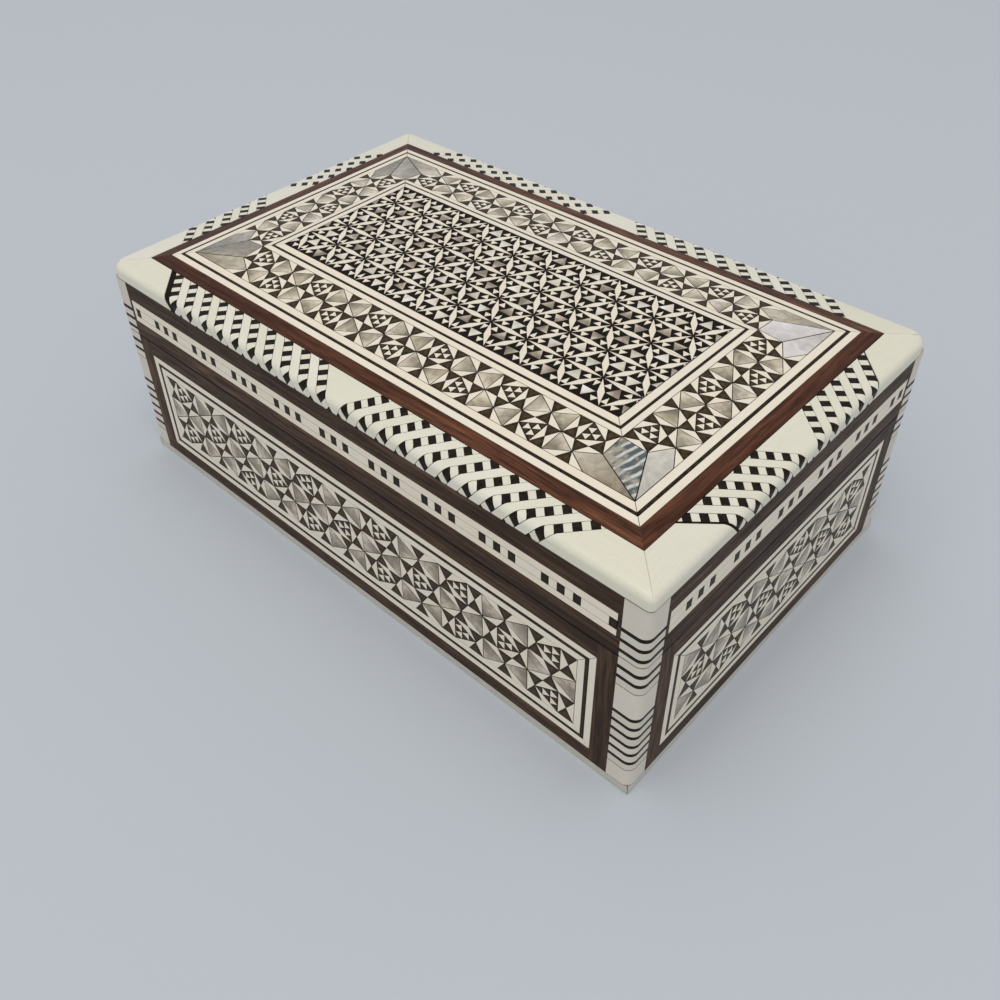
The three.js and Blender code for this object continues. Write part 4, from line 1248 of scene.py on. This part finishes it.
inlay_bed("field_ground", rectangle(-bed_half_x, bed_half_x, -bed_half_y, bed_half_y), bed_thickness,
          field_face, "lid", "star_field")
white_shell = shell_material("white_mother_of_pearl", (196, 188, 172), (232, 226, 212), (250, 246, 242),
                             300.0)
for kind, material in (("bone", inlay_bone), ("shell", shell), ("white shell", white_shell)):
    mesh = cut_tiles(f"field_{kind}", field_tiles[kind], field_face, tile_thickness, 0.03)
    finished_piece(f"field_{kind.replace(' ', '_')}", mesh, "lid", material, "mosaic")

# Moulding round the lid's edge: plain bone pieces at the corners and a bone wedge at the middle of each
# side, and between them slanting bone strips with a chequer of bone and horn in the channels between
# them. All of it is filed to one rounded profile.
moulding_half_x = box_of("moulding_corner_front_right")[1].x
moulding_half_y = box_of("moulding_corner_back_right")[1].y - middle_y
moulding_bottom = box_of("moulding_corner_front_right")[0].z
moulding_top = box_of("moulding_corner_front_right")[1].z
moulding_width, moulding_round, moulding_rise = 7.35, 1.4, 0.8
corner_rounds = {"front": 1.3, "right": 4.6, "back": 2.6, "left": 4.0}
face_lean, foot_inset = 1.8, 2.5
# The lowest strip of the moulding's face, this wide, gets a high rim tag that darkens it: a painted shadow
# line under the moulding's overhang.
shade_line_width, edge_shade = 0.12, 2.5
round_steps = 8
slope = moulding_rise / moulding_width
shoulder = moulding_top - moulding_rise


def moulding_profile(sunk=0.0):
    """The moulding's face from its lower edge to its inner one, as rows of four values.

    They are a place across the face laid flat, the inset and height there, and the inset below it at
    the foot of the piece. Laid flat, the upright part of the face is drawn a little short.
    """
    drop = shoulder - moulding_round - moulding_bottom
    bend = moulding_round * math.pi / 2
    squeeze = (face_lean + moulding_round) / (drop + bend)
    rows = [(-face_lean, sunk, moulding_bottom), (-face_lean + 0.35 * squeeze, sunk, moulding_bottom + 0.35)]
    for step in range(round_steps + 1):
        share = step / round_steps
        angle = math.pi - share * math.pi / 2
        inset = moulding_round * (1 + math.cos(angle))
        height = shoulder - moulding_round + (moulding_round + slope * inset) * math.sin(angle)
        flat = -face_lean + (drop + share * bend) * squeeze
        rows.append((flat, inset + sunk * (1 - share), height - sunk * share))
    rows.append((moulding_width, moulding_width, moulding_top - sunk))
    foot_width = moulding_width - foot_inset
    return [(flat, inset, height, foot_inset + foot_width * (flat + face_lean) / (moulding_width + face_lean))
            for flat, inset, height in rows]


def draped(name, outlines, place, profile, joint, material, slot="bone", replaces=(), cuts=(-1000, 1000)):
    """Solid pieces under a profile, from outlines in run and flat width, as one piece with its finish.

    cuts are the places along the run at which the faces of a piece end, where it bends.
    """
    rng = random.Random(name)
    points, faces = [], []
    tone_tag, rim_tag, lay_tag = [], [], []
    for outline in outlines:
        drawn = pulled_in(anticlockwise(outline), joint)
        drawn = clipped(drawn, [(1, 1, moulding_width), (1, -1, face_lean)])
        if len(drawn) < 3 or area_of(drawn) < 0.05:
            continue
        centre, edge, side_ways = axes_of(drawn)
        tone, shift = rng.random(), rng.uniform(-400, 400)
        known = {}

        def point(p, inset, height, under):
            key = (round(p.x, 3), round(p.y, 3), under)
            if key not in known:
                known[key] = len(points)
                points.append(place(p.x, inset, height))
                offset = p - centre
                tone_tag.append(tone)
                # Points along the lower edge get a high rim tag: painted shade along the moulding's lower
                # edge, on bone and horn alike.
                rim_tag.append(edge_shade if p.y < shade_line_width - face_lean else 0.0)
                lay_tag.extend((offset.dot(edge) + shift, offset.dot(side_ways) + shift, height))
            return known[key]

        tops, lows = [], []
        for near, far in zip(profile, profile[1:]):
            band = clipped(drawn, [(1, -1, -near[0]), (1, 1, far[0])])
            for left, right in zip(cuts, cuts[1:]):
                part = clipped(band, [(0, -1, -left), (0, 1, right)]) if band else []
                tidy = [p for i, p in enumerate(part) if (p - part[i - 1]).length > 2e-3]
                if len(tidy) < 3 or area_of(tidy) < 1e-4:
                    continue
                top, low = [], []
                for p in tidy:
                    inset, height, foot = (a + (b - a) * (p.y - near[0]) / (far[0] - near[0])
                                           for a, b in zip(near[1:], far[1:]))
                    top.append(point(p, inset, height, False))
                    low.append(point(p, foot, moulding_bottom, True))
                tops.append(top)
                lows.append(low)
        edges = {}
        for loop, under in zip(tops, lows):
            for i in range(len(loop)):
                edges[loop[i - 1], loop[i]] = (under[i - 1], under[i])
        for (a, b), (under_a, under_b) in edges.items():
            if (b, a) not in edges:
                faces.append((a, under_a, under_b, b))
        faces.extend(tops)
        faces.extend(loop[::-1] for loop in lows)
    tags = {"tone": tone_tag, "rim": rim_tag, "lay": lay_tag}
    mesh = closed_mesh(name, [tuple(p * MM) for p in points], faces, tags, crease=28)
    finished_piece(name, mesh, "lid", material, slot, replaces)


corner_length, wedge_length = 8.8, 17.0
weave_band, weave_pitch, weave_start = 2.07, 3.2, 0.9
bed_sunk = 0.12
face_profile, bed_profile = moulding_profile(), moulding_profile(bed_sunk)


def weave(near, foot, end):
    """Strips and the pieces of the channels on the right half of one side, by what they are made of.

    near and foot say where the wedge beside them ends at the moulding's inner edge and at its lower one,
    and the pieces next to it lean as it does.
    """
    strips, whites, blacks = [], [], []
    run = (end - near) / math.sqrt(2)
    count = round((run / weave_band - 1) / 2)
    band = run / (2 * count + 1)
    step = band * math.sqrt(2)
    width, depth = moulding_width, moulding_width + face_lean
    for k in range(count):
        left = near + (2 * k + 1) * step
        strips.append([(left, width), (left + step, width), (left + step - depth, -face_lean),
                       (left - depth, -face_lean)])
    for channel in range(count + 1):
        left = near + 2 * channel * step
        middle = left + step / 2
        start = weave_start + rng.uniform(-0.5, 0.5)
        number = -1
        while start + number * weave_pitch / 2 < depth * math.sqrt(2) + band:
            out = start + number * weave_pitch / 2
            tile = []
            for t, w in ((-band / 2, -weave_pitch / 4), (band / 2, -weave_pitch / 4),
                         (band / 2, weave_pitch / 4), (-band / 2, weave_pitch / 4)):
                tile.append((middle + (t - w - out) / math.sqrt(2), width - (t + w + out) / math.sqrt(2)))
            (blacks if number % 2 == 0 else whites).append(tile)
            number += 1
    fan = 1 - (near - foot) / depth

    def leaning(x, y):
        """A place beside the wedge, moved over as the wedge's edge slants."""
        share = min(1.0, max(0.0, (end - x - width + y) / (end - near)))
        return x + fan * (width - y) * share, y

    return [[clipped([leaning(*p) for p in shape], [(1, 1, width), (1, -1, face_lean)]) for shape in shapes]
            for shapes in (strips, whites, blacks)]


def mould_side(half_run, half_depth, side, rounds):
    """A placing function for one side, which also turns the run round the corners of the moulding."""
    def place(a, b, z):
        from_end = half_run - abs(a)
        corner_round = rounds[0 if a < 0 else 1]
        if from_end < corner_round and b < corner_round:
            angle = math.pi / 4 * min(1.0, (corner_round - from_end) / (corner_round - b))
            reach = corner_round - b
            from_end, b = corner_round - reach * math.sin(angle), corner_round - reach * math.cos(angle)
            a = math.copysign(half_run - from_end, a)
        return turned(side, a, -half_depth + b, z)
    return place


wedge_ends = {"front": ((-7.3, 1.8), (9.0, 2.9))}
chipped = {
    ("front", 1): (1.0, 0.0),
    ("front", -1): (0.0, 1.9),
    ("right", -1): (0.0, 0.6),
    ("right", 1): (0.0, 0.4),
}
smallest_strip = 0.1
corner_pieces = {"front": ("front_right", "front_left"), "back": ("back_right", "back_left")}
before = {"front": "left", "right": "front", "back": "right", "left": "back"}
rng = random.Random("weave")
for side in sides:
    is_long = side in long_sides
    halves = (moulding_half_x, moulding_half_y)
    half_run, half_depth = halves if is_long else reversed(halves)
    rounds = [corner_rounds[before[side]], corner_rounds[side]]
    seat = mould_side(half_run, half_depth, side, rounds)
    width, depth = moulding_width, moulding_width + face_lean
    strips, whites, blacks, beds, ends = [], [], [], [], []
    wedge_left, wedge_right = wedge_ends.get(side, ((-wedge_length / 2, -0.6), (wedge_length / 2, 0.6)))
    for sign, (near, foot) in ((1, wedge_right), (-1, wedge_left)):
        near, foot = sign * near, sign * foot
        shorter, gap = chipped.get((side, sign), (0.0, 0.0))
        end = half_run - moulding_width - corner_length + shorter
        for found, kept in zip(weave(near, foot, end - gap), (strips, whites, blacks)):
            whole = [shape for shape in found if len(shape) > 2 and area_of(shape) > smallest_strip]
            kept += [[(sign * p.x, p.y) for p in shape] for shape in whole]
        beds.append([(sign * a, b) for a, b in (
            (near, width), (end, width), (end - depth, -face_lean), (foot, -face_lean))])
        mitre = [(half_run - inset, flat) for flat, inset, _, _ in reversed(face_profile)]
        ends.append([(sign * a, b) for a, b in [(end, width), *mitre, (end - depth, -face_lean)]])
    draped(f"moulding_bed_{side}", beds, seat, bed_profile, 0.02, mastic, "mosaic",
           (f"woven_moulding_{side}",))
    draped(f"moulding_strips_{side}", strips, seat, face_profile, 0.07, bone)
    draped(f"moulding_chequer_{side}", whites, seat, face_profile, 0.05, bone)
    draped(f"moulding_dashes_{side}", blacks, seat, face_profile, 0.03, horn)
    wedge = [(wedge_left[0], width), (wedge_right[0], width), (wedge_right[1], -face_lean),
             (wedge_left[1], -face_lean)]
    draped(f"moulding_wedge_{side}", [wedge], seat, face_profile, 0.06, bone,
           replaces=(f"moulding_centre_{side}",))
    cuts = [-1000, *(rounds[0] * k / 6 - half_run for k in range(7)),
            *(half_run - rounds[1] * k / 6 for k in range(6, -1, -1)), 1000]
    draped(f"moulding_ends_{side}", ends, seat, face_profile, 0.05, bone,
           replaces=tuple(f"moulding_corner_{corner}" for corner in corner_pieces.get(side, ())), cuts=cuts)

# Velvet lining of the lid: a padded sheet of the same velvet glued under the board, and a band glued
# round the rims, its free edge rolled over the wadding.
lid_low, lid_high = box_of("lid_lining")
lid_half_x, lid_half_y = lid_high.x, (lid_high.y - lid_low.y) / 2
lid_pad_thickness = 2.0
sheet = padded_sheet("lid_pad", lid_half_x - lining, lid_half_y - lining, 0.0, lid_pad_thickness)
for vertex in sheet.vertices:
    vertex.co.z = lid_high.z * MM - vertex.co.z
lid_pad = finished_piece("lid_pad", outward(sheet), "lid", velvet, "velvet", ("lid_lining",))
upside_down = [(inset, lid_high.z + lid_low.z - z)
               for inset, z in rolled_section(lid_low.z, lid_high.z, 0.0, lining, soft)]
band = swept_band("lid_band", upside_down, lid_half_x, lid_half_y)
lid_band = finished_piece("lid_band", band, "lid", velvet, "velvet")

# Hinges: two small brass butt hinges, their leaves let into the top of the back wall and the underside
# of the back rim. Each leaf is held by three slotted brass screws, and the knuckles turn on a pin.
brass, tree, shader = new_material("aged_brass")
tarnish = noise(tree, place_on(tree), 420.0, 5.0)
patches = spread(tree, tarnish, 0.4, 0.7)
fill_in(shader, {
    "Base Color": mix_colours(tree, patches, colour(206, 170, 96), colour(150, 112, 58)),
    "Roughness": spread(tree, tarnish, 0.0, 1.0, 0.22, 0.5),
    "Metallic": 1.0,
    "Normal": raised(tree, tarnish, 0.2, 0.00005),
})
screw_radius, screw_lift, screw_depth, slot_half = 1.1, 0.04, 0.4, 0.16
screw_line, screw_places = 2.6, (-0.36, 0, 0.36)


def screw_head(work, x, y, z, up, turn):
    """A slotted screw head almost flush with its leaf, made of a low dome on either side of its slot."""
    for half in (-1, 1):
        outline = []
        for step in range(13):
            slot_angle = math.asin(slot_half / screw_radius)
            angle = slot_angle + step / 12 * (math.pi - 2 * slot_angle)
            outline.append(Vector((screw_radius * math.cos(angle), half * screw_radius * math.sin(angle))))
        rows = []
        for shrink, rise in (
            (1.0, -screw_depth),
            (1.0, screw_lift * 0.4),
            (0.86, screw_lift * 0.8),
            (0.55, screw_lift),
        ):
            row = []
            for p in outline:
                q = Vector((p.x * shrink, half * max(slot_half, abs(p.y) * shrink)))
                q.rotate(Matrix.Rotation(turn, 2))
                row.append(work.verts.new(((x + q.x) * MM, (y + q.y) * MM, (z + up * rise) * MM)))
            rows.append(row)
        for low, high in zip(rows, rows[1:]):
            for i in range(len(low)):
                j = (i + 1) % len(low)
                work.faces.new((low[i], low[j], high[j], high[i]))
        work.faces.new(rows[0])
        work.faces.new(rows[-1])


for label in ("left", "right"):
    for kind, body, up in (("case_leaf", "case", 1), ("lid_leaf", "lid", -1)):
        low, high = box_of(f"hinge_{kind}_{label}")
        dress(f"hinge_{kind}_{label}", brass)
        plate_z = box_of("case_wall_back")[1].z if up > 0 else box_of("lid_rim_back")[0].z
        plate_y = body_half[False] + middle_y - screw_line
        work = bmesh.new()
        for number, part in enumerate(screw_places):
            screw_x = (low.x + high.x) / 2 + part * (high.x - low.x)
            screw_head(work, screw_x, plate_y, plate_z, up, 0.5 + 1.1 * number)
        mesh = bpy.data.meshes.new(f"screws_{kind}_{label}")
        work.to_mesh(mesh)
        work.free()
        finished_piece(f"screws_{kind}_{label}", outward(mesh), body, brass, "hinge_brass")
    dress(f"hinge_pin_{label}", brass)
